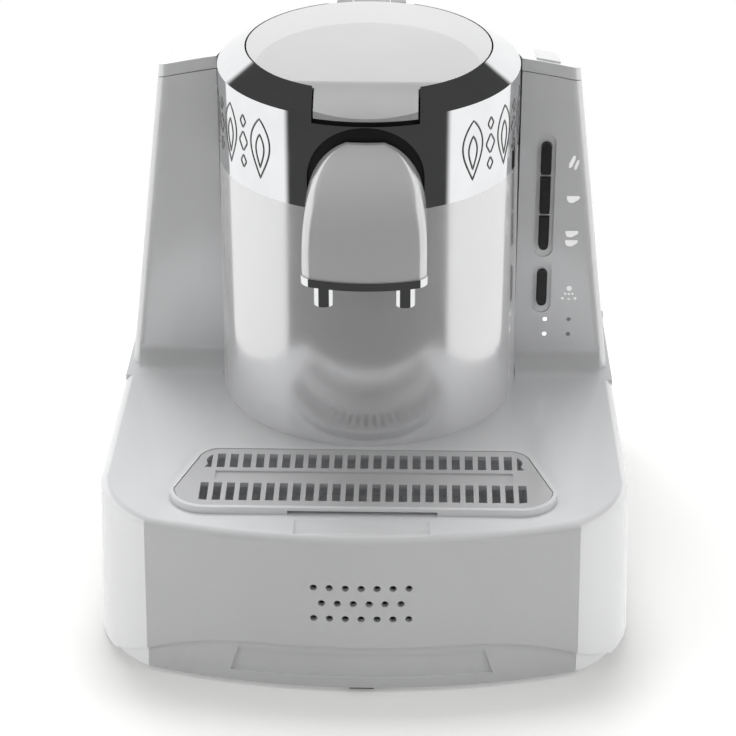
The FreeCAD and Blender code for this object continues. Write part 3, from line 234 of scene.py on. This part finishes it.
def noise(tree, scale, detail=3.0, stretch=(1.0, 1.0, 1.0)):
    """Soft cloudy pattern."""
    made = node_in(tree, "ShaderNodeTexNoise")
    made.inputs["Scale"].default_value = scale
    made.inputs["Detail"].default_value = detail
    tree.links.new(placed(tree, stretch), made.inputs["Vector"])
    return made.outputs["Fac"]


def grains(tree, scale):
    """Cell pattern for flake, speckle and lens texture."""
    made = node_in(tree, "ShaderNodeTexVoronoi")
    made.inputs["Scale"].default_value = scale
    tree.links.new(placed(tree), made.inputs["Vector"])
    return made.outputs["Distance"]


def shaded(base, factor):
    """A colour made darker or lighter."""
    return tuple(min(1.0, part * factor) for part in base)


def blend_colours(tree, shader, factor, first, second, low=0.35, high=0.65):
    """Runs the base colour between two colours along a pattern."""
    ramp = node_in(tree, "ShaderNodeValToRGB")
    ramp.color_ramp.elements[0].position = low
    ramp.color_ramp.elements[0].color = (*first, 1.0)
    ramp.color_ramp.elements[1].position = high
    ramp.color_ramp.elements[1].color = (*second, 1.0)
    tree.links.new(factor, ramp.inputs["Fac"])
    tree.links.new(ramp.outputs["Color"], shader.inputs["Base Color"])
    return ramp


def vary_roughness(tree, shader, factor, low, high):
    """Lets the roughness drift between two values along a pattern."""
    tree.links.new(spread_range(tree, factor, (0.3, 0.7), (low, high)), shader.inputs["Roughness"])


def raise_surface(tree, shader, factor, depth, strength=1.0):
    """Gives the surface a fine relief; depth is in metres."""
    bump = node_in(tree, "ShaderNodeBump")
    bump.inputs["Strength"].default_value = strength
    bump.inputs["Distance"].default_value = depth
    tree.links.new(factor, bump.inputs["Height"])
    tree.links.new(bump.outputs["Normal"], shader.inputs["Normal"])


# Finishes, one for each material slot; each takes the lacquer settings, used or not
def silver_lacquer(name, base, settings, roughness=None, metal=None):
    """Silver paint under a clear coat: drifting tone, fine flake and a faint orange peel."""
    rough = settings.roughness if roughness is None else roughness
    metallic = settings.metal if metal is None else metal
    material, tree, shader = fresh_finish(name, base, rough, metallic, Coat_Weight=settings.coat,
                                          Coat_Roughness=0.04, Coat_IOR=1.45)
    flake = computed(tree, "MULTIPLY", grains(tree, scale=2600.0), 0.25)
    tone = computed(tree, "ADD", flake, noise(tree, scale=9.0, detail=2.0))
    blend_colours(tree, shader, tone, shaded(base, 0.94), shaded(base, 1.06), low=0.1, high=1.0)
    vary_roughness(tree, shader, noise(tree, scale=40.0), rough - 0.02, rough + 0.02)
    raise_surface(tree, shader, noise(tree, scale=420.0, detail=1.0), depth=0.000008, strength=0.25)
    return material


def shell_plastic(settings):
    return silver_lacquer("silver_shell", tuple(settings.shell), settings)


def tower_plastic(settings):
    return silver_lacquer("bright_tower", tuple(settings.tower), settings, roughness=0.14, metal=0.55)


def lid_plastic(settings):
    return silver_lacquer("grey_lid", tuple(settings.lid), settings, roughness=0.16, metal=0.42)


def nose_plastic(settings):
    return silver_lacquer("satin_nose", tuple(settings.nose), settings, roughness=0.2, metal=0.4)


def grille_plastic(settings):
    return silver_lacquer("silver_grille", tuple(settings.grille), settings, roughness=0.22, metal=0.35)


def chrome(settings):
    material, tree, shader = fresh_finish("mirror_chrome", (0.86, 0.865, 0.875), 0.05, 1.0)
    smudge = noise(tree, scale=55.0, detail=4.0)
    blend_colours(tree, shader, smudge, (0.83, 0.835, 0.845), (0.88, 0.885, 0.895))
    vary_roughness(tree, shader, smudge, 0.035, 0.075)
    return material


def moulded_dark(name, base, roughness, scale, depth):
    """Dark plastic or rubber with a moulded grain."""
    material, tree, shader = fresh_finish(name, base, roughness)
    grain = noise(tree, scale, detail=5.0)
    blend_colours(tree, shader, grain, shaded(base, 0.85), shaded(base, 1.2))
    vary_roughness(tree, shader, noise(tree, scale=60.0), roughness - 0.06, roughness + 0.06)
    raise_surface(tree, shader, grain, depth, strength=0.6)
    return material


def dark_plastic(settings):
    return moulded_dark("black_plastic", (0.014, 0.014, 0.016), roughness=0.4, scale=1400.0, depth=0.00003)


def button_plastic(settings):
    return moulded_dark("key_black", (0.028, 0.028, 0.03), roughness=0.36, scale=900.0, depth=0.00001)


def rubber(settings):
    return moulded_dark("foot_rubber", (0.02, 0.02, 0.02), roughness=0.75, scale=800.0, depth=0.00005)


def seal_rubber(settings):
    return moulded_dark("red_silicone", (0.33, 0.05, 0.03), roughness=0.55, scale=500.0, depth=0.00002)


def brushed(name, base, roughness, stretch):
    """Metal with fine lines drawn along one way."""
    material, tree, shader = fresh_finish(name, base, roughness, 1.0, Anisotropic=0.5)
    lines = noise(tree, scale=300.0, detail=4.0, stretch=stretch)
    blend_colours(tree, shader, lines, shaded(base, 0.85), shaded(base, 1.08))
    vary_roughness(tree, shader, lines, roughness - 0.08, roughness + 0.1)
    raise_surface(tree, shader, lines, depth=0.00001, strength=0.6)
    return material


def steel(settings):
    return brushed("brushed_steel", (0.56, 0.56, 0.58), roughness=0.32, stretch=(1.0, 1.0, 14.0))


def brass(settings):
    return brushed("turned_brass", (0.6, 0.43, 0.16), roughness=0.28, stretch=(1.0, 1.0, 20.0))


def pot_metal(settings):
    """Dark non-stick coating with pale speckle."""
    material, tree, shader = fresh_finish("speckled_pot", (0.03, 0.03, 0.032), 0.45)
    ramp = blend_colours(tree, shader, grains(tree, scale=900.0), (0.22, 0.22, 0.22),
                         (0.03, 0.03, 0.032), low=0.05, high=0.12)
    ramp.color_ramp.interpolation = "EASE"
    vary_roughness(tree, shader, noise(tree, scale=120.0), 0.38, 0.52)
    raise_surface(tree, shader, noise(tree, scale=700.0), depth=0.00002, strength=0.5)
    return material


def clear_tank(settings):
    material, tree, shader = fresh_finish("smoky_tank", (0.72, 0.77, 0.8), 0.12, 0.0,
                                          Transmission_Weight=0.85, IOR=1.49)
    haze = noise(tree, scale=30.0)
    blend_colours(tree, shader, haze, (0.66, 0.72, 0.76), (0.78, 0.82, 0.85))
    vary_roughness(tree, shader, haze, 0.08, 0.18)
    raise_surface(tree, shader, noise(tree, scale=90.0, detail=1.0), depth=0.00002, strength=0.4)
    return material


def lamp_lens(settings):
    """White lenses; the pair beside the keys is lit and the outer pair is faint."""
    material, tree, shader = fresh_finish("lamp_lens", (0.9, 0.9, 0.9), 0.3,
                                          Emission_Color=(1.0, 0.99, 0.96, 1.0))
    split = node_in(tree, "ShaderNodeSeparateXYZ")
    tree.links.new(placed(tree), split.inputs["Vector"])
    unlit = spread_range(tree, split.outputs["X"], (KEY_HIGH.x + 0.004, KEY_HIGH.x + 0.005))
    blend_colours(tree, shader, unlit, (0.9, 0.9, 0.88), (0.3, 0.3, 0.3), low=0.2, high=0.8)
    glow = spread_range(tree, unlit, (0.0, 1.0), (0.9, 0.0))
    tree.links.new(glow, shader.inputs["Emission Strength"])
    raise_surface(tree, shader, grains(tree, scale=1500.0), depth=0.00003, strength=0.4)
    return material


def board(settings):
    """Green solder mask over copper tracks."""
    material, tree, shader = fresh_finish("solder_mask", (0.01, 0.12, 0.05), 0.35)
    tracks = node_in(tree, "ShaderNodeTexBrick")
    tracks.inputs["Scale"].default_value = 120.0
    tracks.inputs["Mortar Size"].default_value = 0.06
    tracks.inputs["Color1"].default_value = (0.0, 0.0, 0.0, 1.0)
    tracks.inputs["Color2"].default_value = (0.25, 0.25, 0.25, 1.0)
    tracks.inputs["Mortar"].default_value = (1.0, 1.0, 1.0, 1.0)
    tree.links.new(placed(tree), tracks.inputs["Vector"])
    blend_colours(tree, shader, tracks.outputs["Color"], (0.008, 0.1, 0.04), (0.03, 0.2, 0.09),
                  low=0.1, high=0.9)
    raise_surface(tree, shader, tracks.outputs["Fac"], depth=0.00003, strength=0.5)
    return material


def hose_rubber(settings):
    material, tree, shader = fresh_finish("clear_silicone", (0.74, 0.74, 0.7), 0.4, 0.0,
                                          Transmission_Weight=0.35)
    blend_colours(tree, shader, noise(tree, scale=80.0), (0.66, 0.66, 0.62), (0.8, 0.8, 0.77))
    raise_surface(tree, shader, noise(tree, scale=500.0), depth=0.00001, strength=0.5)
    return material


FINISHES = {
    "shell_plastic": shell_plastic, "tower_plastic": tower_plastic, "lid_plastic": lid_plastic,
    "nose_plastic": nose_plastic, "grille_plastic": grille_plastic, "chrome": chrome,
    "dark_plastic": dark_plastic, "button_plastic": button_plastic, "rubber": rubber,
    "seal_rubber": seal_rubber, "steel": steel, "brass": brass, "pot_metal": pot_metal,
    "clear_tank": clear_tank, "lamp_lens": lamp_lens, "board": board, "hose_rubber": hose_rubber,
}
MOULDED = ("shell_plastic", "tower_plastic", "lid_plastic", "nose_plastic", "grille_plastic")
METALS = ("chrome", "steel", "brass", "pot_metal")


def dress(slots, settings):
    """Gives every node of these slots its finish."""
    for slot in slots:
        material = FINISHES[slot](settings)
        for name, own in SLOT_OF_NODE.items():
            if own == slot:
                part = frame["nodes"][name]
                part.data.materials.clear()
                part.data.materials.append(material)


# Line work on the band and the wall
def mesh_piece(name, points, faces):
    """A new object from points and faces."""
    mesh = bpy.data.meshes.new(name)
    mesh.from_pydata(points, [], faces)
    piece = bpy.data.objects.new(name, mesh)
    bpy.context.scene.collection.objects.link(piece)
    return piece


def line_mesh(name, paths, width, height, place):
    """Half-round lines along closed flat paths; place puts (across, up, out) on the surface."""
    points = []
    faces = []
    width_steps = len(LINE_SECTION)
    for path in paths:
        start = len(points)
        count = len(path)
        for index, (x, y) in enumerate(path):
            before = path[index - 1]
            after = path[(index + 1) % count]
            way = Vector((after[0] - before[0], after[1] - before[1])).normalized()
            for side, rise in LINE_SECTION:
                points.append(place(x - way.y * side * width, y + way.x * side * width, rise * height))
        for index in range(count):
            here = start + index * width_steps
            there = start + (index + 1) % count * width_steps
            for step in range(width_steps - 1):
                faces.append((here + step, here + step + 1, there + step + 1, there + step))
    piece = mesh_piece(name, points, faces)
    for face in piece.data.polygons:
        face.use_smooth = True
    return piece


def patch_mesh(name, outlines, thickness, place):
    """Flat filled patches with a thin edge."""
    points = []
    faces = []
    for outline in outlines:
        start = len(points)
        count = len(outline)
        for x, y in outline:
            points.append(place(x, y, thickness))
        for x, y in outline:
            points.append(place(x, y, -PATCH_SINK))
        faces.append(tuple(start + index for index in range(count)))
        for index in range(count):
            after = (index + 1) % count
            faces.append((start + index, start + count + index, start + count + after, start + after))
    return mesh_piece(name, points, faces)


def leaf(height, width, steps=28):
    """A closed pointed leaf standing on its tip, widest above the middle."""
    widest_shift = 1.25
    fullness = 0.85
    left = []
    right = []
    for index in range(steps + 1):
        share_up = index / steps
        half = width / 2 * math.sin(math.pi * share_up ** widest_shift) ** fullness
        level = height * (share_up - 0.5)
        left.append((-half, level))
        right.append((half, level))
    return left + right[-2:0:-1]


def on_band(across, up, out):
    """A point on the band: across is measured round it from the front."""
    turn = across / TOWER_RADIUS
    reach = TOWER_RADIUS + out
    return (reach * math.sin(turn), TOWER_Y - reach * math.cos(turn), up)


def moved(path, across, up):
    """A flat path, shifted."""
    return [(x + across, y + up) for x, y in path]


def blunt_lozenge(size):
    """A standing lozenge, 1.5 times as high as wide, with its corners cut off."""
    corners = [(0.0, size * 1.5), (size, 0.0), (0.0, -size * 1.5), (-size, 0.0)]
    path = []
    for index, (x, y) in enumerate(corners):
        after = corners[(index + 1) % 4]
        for step in (0.12, 0.5, 0.88):
            path.append((x + (after[0] - x) * step, y + (after[1] - y) * step))
    return path


def ornament_paths(settings):
    """Standing leaves, each with a smaller one inside, and three lozenges between neighbours."""
    middle = (BAND_FOOT + BAND_TOP - BEVEL_HEIGHT) / 2
    inner_height = 0.56
    inner_width = 0.42
    inner_drop = 0.04
    paths = []
    for side in (-1, 1):
        for index in range(settings.leaves):
            turn = side * (settings.first + settings.step * index)
            across = turn * TOWER_RADIUS
            outer = leaf(settings.height, settings.width)
            inner = leaf(settings.height * inner_height, settings.width * inner_width)
            paths.append(moved(outer, across, middle))
            paths.append(moved(inner, across, middle - settings.height * inner_drop))
            between = across + side * settings.step * TOWER_RADIUS / 2
            for level, size in LOZENGES:
                paths.append(moved(blunt_lozenge(size), between, middle + level * settings.height))
    return paths


def disc(x, y, radius, steps=20):
    """A round outline."""
    return [(x + radius * math.cos(math.tau * step / steps), y + radius * math.sin(math.tau * step / steps))
            for step in range(steps)]


def cup_patch(x, y, width, height):
    """A small cup with a rounded foot and a handle on its right."""
    half = width / 2
    body = [(-half, height * 0.5), (-half * 0.98, height * 0.1), (-half * 0.78, -height * 0.3),
            (-half * 0.5, -height * 0.5), (half * 0.14, -height * 0.5), (half * 0.42, -height * 0.28),
            (half * 0.8, -height * 0.1), (half * 1.08, height * 0.16), (half * 1.1, height * 0.4),
            (half * 0.95, height * 0.5)]
    return moved(body[::-1], x, y)


def bean_patch(x, y, height, width):
    """A slanted bar with pointed ends."""
    half = height / 2
    body = [(-width, -half), (-width * 0.1, -half * 0.85), (width, half * 0.4), (width * 1.1, half),
            (width * 0.3, half * 0.9), (-width * 0.95, -half * 0.3)]
    return moved(body, x, y)


def key_centres():
    """The height of each key's middle, from the top key down."""
    centres = []
    for name in ("power_button", "one_cup_button", "two_cup_button", "rinse_button"):
        low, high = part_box(name)
        centres.append((low.z + high.z) / 2)
    return centres


def symbol_outlines(settings):
    """Two beans, a cup, two cups and a spray, each beside its key."""
    power, single, double, rinse = key_centres()
    x = (KEY_LOW.x + KEY_HIGH.x) / 2 + settings.offset
    width = settings.width
    height = settings.height * 0.62
    outlines = [bean_patch(x - 0.0011, power - 0.0019, 0.0066, 0.0015),
                bean_patch(x + 0.0012, power - 0.0035, 0.0052, 0.0011),
                cup_patch(x, single - 0.0022, width, height + 0.0005),
                cup_patch(x, double - 0.0006, width, height + 0.0002),
                cup_patch(x, double - 0.0056, width, height + 0.0002)]
    head = rinse - 0.0006
    outlines.append(disc(x, head, 0.0013))
    for aside, drop, radius in SPRAY_DROPS:
        outlines.append(disc(x + aside, head - drop, radius, steps=12))
    return outlines


def on_wall(across, up, out):
    """A point on the wall beside the tower."""
    return (across, FACE_Y - out, up)


# Operators, one for each piece or group of like pieces
class DressMouldings(bpy.types.Operator):
    """Give the silver mouldings their lacquer"""
    bl_idname = "maker.dress_mouldings"
    bl_label = "Dress mouldings"

    def execute(self, context):
        dress(MOULDED, context.scene.maker_lacquer)
        return {"FINISHED"}


class DressMetals(bpy.types.Operator):
    """Give the band, nozzles, pot and fittings their metal finishes"""
    bl_idname = "maker.dress_metals"
    bl_label = "Dress metals"

    def execute(self, context):
        dress(METALS, context.scene.maker_lacquer)
        return {"FINISHED"}


class DressSmallParts(bpy.types.Operator):
    """Give keys, seals, hoses, boards, lenses and the tank their finishes"""
    bl_idname = "maker.dress_small_parts"
    bl_label = "Dress small parts"

    def execute(self, context):
        rest = [slot for slot in FINISHES if slot not in MOULDED and slot not in METALS]
        dress(rest, context.scene.maker_lacquer)
        return {"FINISHED"}


class AddValveCoil(bpy.types.Operator):
    """Add the coil spring that the plunger presses together"""
    bl_idname = "maker.add_valve_coil"
    bl_label = "Add valve coil"

    def execute(self, context):
        spring = frame["nodes"]["valve_spring"]
        coil = bpy.data.objects.new("valve_coil", spring.data.copy())
        context.scene.collection.objects.link(coil)
        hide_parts("valve_spring")
        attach(coil, "chassis")
        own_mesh(coil)
        return {"FINISHED"}


class AddBandOrnament(bpy.types.Operator):
    """Add the raised leaf ornament round the chrome band"""
    bl_idname = "maker.add_band_ornament"
    bl_label = "Add band ornament"

    def execute(self, context):
        settings = context.scene.maker_ornament
        piece = line_mesh("band_ornament", ornament_paths(settings), settings.line, settings.relief,
                          on_band)
        material, tree, shader = fresh_finish("ornament_line", (0.16, 0.16, 0.165), 0.2, 0.85)
        wear = noise(tree, scale=240.0)
        blend_colours(tree, shader, wear, (0.13, 0.13, 0.135), (0.22, 0.22, 0.225))
        vary_roughness(tree, shader, wear, 0.15, 0.3)
        piece.data.materials.append(material)
        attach(piece, "chassis")
        return {"FINISHED"}


class AddKeySymbols(bpy.types.Operator):
    """Add the printed symbols beside the keys"""
    bl_idname = "maker.add_key_symbols"
    bl_label = "Add key symbols"

    def execute(self, context):
        settings = context.scene.maker_symbols
        piece = patch_mesh("key_symbols", symbol_outlines(settings), settings.thickness, on_wall)
        ink = tuple(settings.ink)
        # The ink's faint white emission is painted light: the print glows a little brighter than the lamps
        # alone would light it.
        material, tree, shader = fresh_finish("symbol_ink_painted_glow", ink, 0.55, Emission_Strength=0.3,
                                              Emission_Color=PLAIN_WHITE)
        speckle = noise(tree, scale=1500.0)
        blend_colours(tree, shader, speckle, shaded(ink, 0.93), shaded(ink, 1.03))
        vary_roughness(tree, shader, speckle, 0.48, 0.62)
        piece.data.materials.append(material)
        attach(piece, "chassis")
        return {"FINISHED"}


def studio_world(settings):
    """Even light; gloss sees white from the sides and back, and a dark front and ceiling."""
    white_from = math.radians(61.0)
    white_to = math.radians(67.0)
    ceiling_from = math.sin(math.radians(24.5))
    ceiling_to = math.sin(math.radians(28.5))
    world = bpy.data.worlds.new("studio_room")
    bpy.context.scene.world = world
    world.use_nodes = True
    tree = world.node_tree
    tree.nodes.clear()
    coordinates = node_in(tree, "ShaderNodeTexCoord")
    split = node_in(tree, "ShaderNodeSeparateXYZ")
    tree.links.new(coordinates.outputs["Generated"], split.inputs["Vector"])
    sideways = computed(tree, "ABSOLUTE", split.outputs["X"])
    forward = computed(tree, "MULTIPLY", split.outputs["Y"], -1.0)
    turn = computed(tree, "ARCTAN2", sideways, forward)
    beside = spread_range(tree, turn, (white_from, white_to), smooth=True)
    below = spread_range(tree, split.outputs["Z"], (ceiling_from, ceiling_to), (1.0, 0.0), smooth=True)
    level = spread_range(tree, computed(tree, "MULTIPLY", beside, below), (0.0, 1.0),
                         (settings.dark_card, 1.0))
    even, gloss, white = [node_in(tree, "ShaderNodeBackground") for _ in range(3)]
    for background in (even, gloss, white):
        background.inputs["Color"].default_value = PLAIN_WHITE
    even.inputs["Strength"].default_value = settings.room
    tree.links.new(level, gloss.inputs["Strength"])
    rays = node_in(tree, "ShaderNodeLightPath")
    lit = mixed(tree, rays.outputs["Is Glossy Ray"], even.outputs["Background"], gloss.outputs["Background"])
    seen = computed(tree, "MAXIMUM", rays.outputs["Is Camera Ray"], rays.outputs["Is Transmission Ray"])
    output = node_in(tree, "ShaderNodeOutputWorld")
    tree.links.new(mixed(tree, seen, lit, white.outputs["Background"]), output.inputs["Surface"])


def studio_floor(settings):
    """A wide pale floor that keeps the shadow and fades to white for the camera."""
    reach = 4.0
    camera_lift = 0.12
    floor = mesh_piece("studio_floor", [(-reach, -reach, 0.0), (reach, -reach, 0.0), (reach, reach, 0.0),
                                        (-reach, reach, 0.0)], [(0, 1, 2, 3)])
    tone = tuple(settings.floor)
    material, tree, shader = fresh_finish("pale_floor", tone, 0.6, Specular_IOR_Level=0.1,
                                          Emission_Color=(1.0, 0.998, 0.995, 1.0))
    blend_colours(tree, shader, noise(tree, scale=3.0), shaded(tone, 0.99), shaded(tone, 1.01))
    rays = node_in(tree, "ShaderNodeLightPath")
    lift = computed(tree, "MULTIPLY", rays.outputs["Is Camera Ray"], camera_lift)
    tree.links.new(lift, shader.inputs["Emission Strength"])
    away = node_in(tree, "ShaderNodeVectorMath", operation="LENGTH")
    tree.links.new(placed(tree), away.inputs[0])
    fade = spread_range(tree, away.outputs["Value"], (settings.shadow_reach, settings.shadow_reach * 2.0),
                        smooth=True)
    white = node_in(tree, "ShaderNodeEmission")
    white.inputs["Color"].default_value = PLAIN_WHITE
    faded = mixed(tree, computed(tree, "MULTIPLY", fade, rays.outputs["Is Camera Ray"]),
                  shader.outputs["BSDF"], white.outputs["Emission"])
    surface = next(item for item in tree.nodes if item.type == "OUTPUT_MATERIAL")
    tree.links.new(faded, surface.inputs["Surface"])
    floor.data.materials.append(material)
    floor.visible_glossy = False


def soft_lamp(name, place, aim, width, power):
    """A square area lamp that lights the object without showing in its gloss."""
    lamp = bpy.data.lights.new(name, "AREA")
    lamp.shape = "RECTANGLE"
    lamp.size = width
    lamp.size_y = width
    lamp.energy = power
    holder = bpy.data.objects.new(name, lamp)
    holder.location = place
    holder.rotation_euler = (Vector(aim) - Vector(place)).to_track_quat("-Z", "Y").to_euler()
    holder.visible_glossy = False
    bpy.context.scene.collection.objects.link(holder)


def studio_camera(settings):
    """The camera at the photograph's angle."""
    aim = Vector(settings.aim)
    across = math.sin(settings.azimuth) * math.cos(settings.elevation)
    back = -math.cos(settings.azimuth) * math.cos(settings.elevation)
    away = Vector((across, back, math.sin(settings.elevation)))
    camera_data = bpy.data.cameras.new("studio_camera")
    camera_data.lens = settings.lens
    camera_data.sensor_width = 36.0
    camera_data.clip_start = 0.05
    camera_data.dof.use_dof = False
    camera = bpy.data.objects.new("studio_camera", camera_data)
    camera.location = aim + away * settings.distance
    camera.rotation_euler = (-away).to_track_quat("-Z", "Y").to_euler()
    bpy.context.scene.collection.objects.link(camera)
    bpy.context.scene.camera = camera


class SetStudio(bpy.types.Operator):
    """Set the floor, room light, soft lamps and camera"""
    bl_idname = "maker.set_studio"
    bl_label = "Set studio"

    def execute(self, context):
        settings = context.scene.maker_studio
        context.scene.view_settings.view_transform = "Standard"
        studio_world(settings)
        studio_floor(settings)
        middle = (0.0, 0.0, 0.12)
        for side in (-1, 1):
            place = (1.1 * side, -0.35, 0.8)
            soft_lamp(f"side_lamp_{side + 1}", place, middle, 0.8, settings.side_lamp)
        soft_lamp("top_lamp", (-0.08, 0.5, 1.3), middle, 0.7, settings.top_lamp)
        studio_camera(settings)
        return {"FINISHED"}


OPERATORS = (DressMouldings, DressMetals, DressSmallParts, AddValveCoil, AddBandOrnament,
             AddKeySymbols, SetStudio)


class MakerPanel(bpy.types.Panel):
    """Lists the steps that dress the coffee maker"""
    bl_idname = "VIEW3D_PT_coffee_maker"
    bl_label = "Coffee Maker"
    bl_space_type = "VIEW_3D"
    bl_region_type = "UI"
    bl_category = "Coffee Maker"

    def draw(self, context):
        for operator in OPERATORS:
            self.layout.operator(operator.bl_idname)
        for pointer, group in SETTINGS.items():
            section = self.layout.box()
            for name in group.__annotations__:
                section.prop(getattr(context.scene, pointer), name)


CLASSES = (*SETTINGS.values(), *OPERATORS, MakerPanel)


def register():
    for item in CLASSES:
        bpy.utils.register_class(item)
    for pointer, group in SETTINGS.items():
        setattr(bpy.types.Scene, pointer, PointerProperty(type=group))


def unregister():
    for pointer in SETTINGS:
        delattr(bpy.types.Scene, pointer)
    for item in reversed(CLASSES):
        bpy.utils.unregister_class(item)


def main():
    """Registers the add-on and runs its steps."""
    register()
    for operator in OPERATORS:
        group, name = operator.bl_idname.split(".")
        getattr(getattr(bpy.ops, group), name)()


if __name__ == "__main__":
    main()
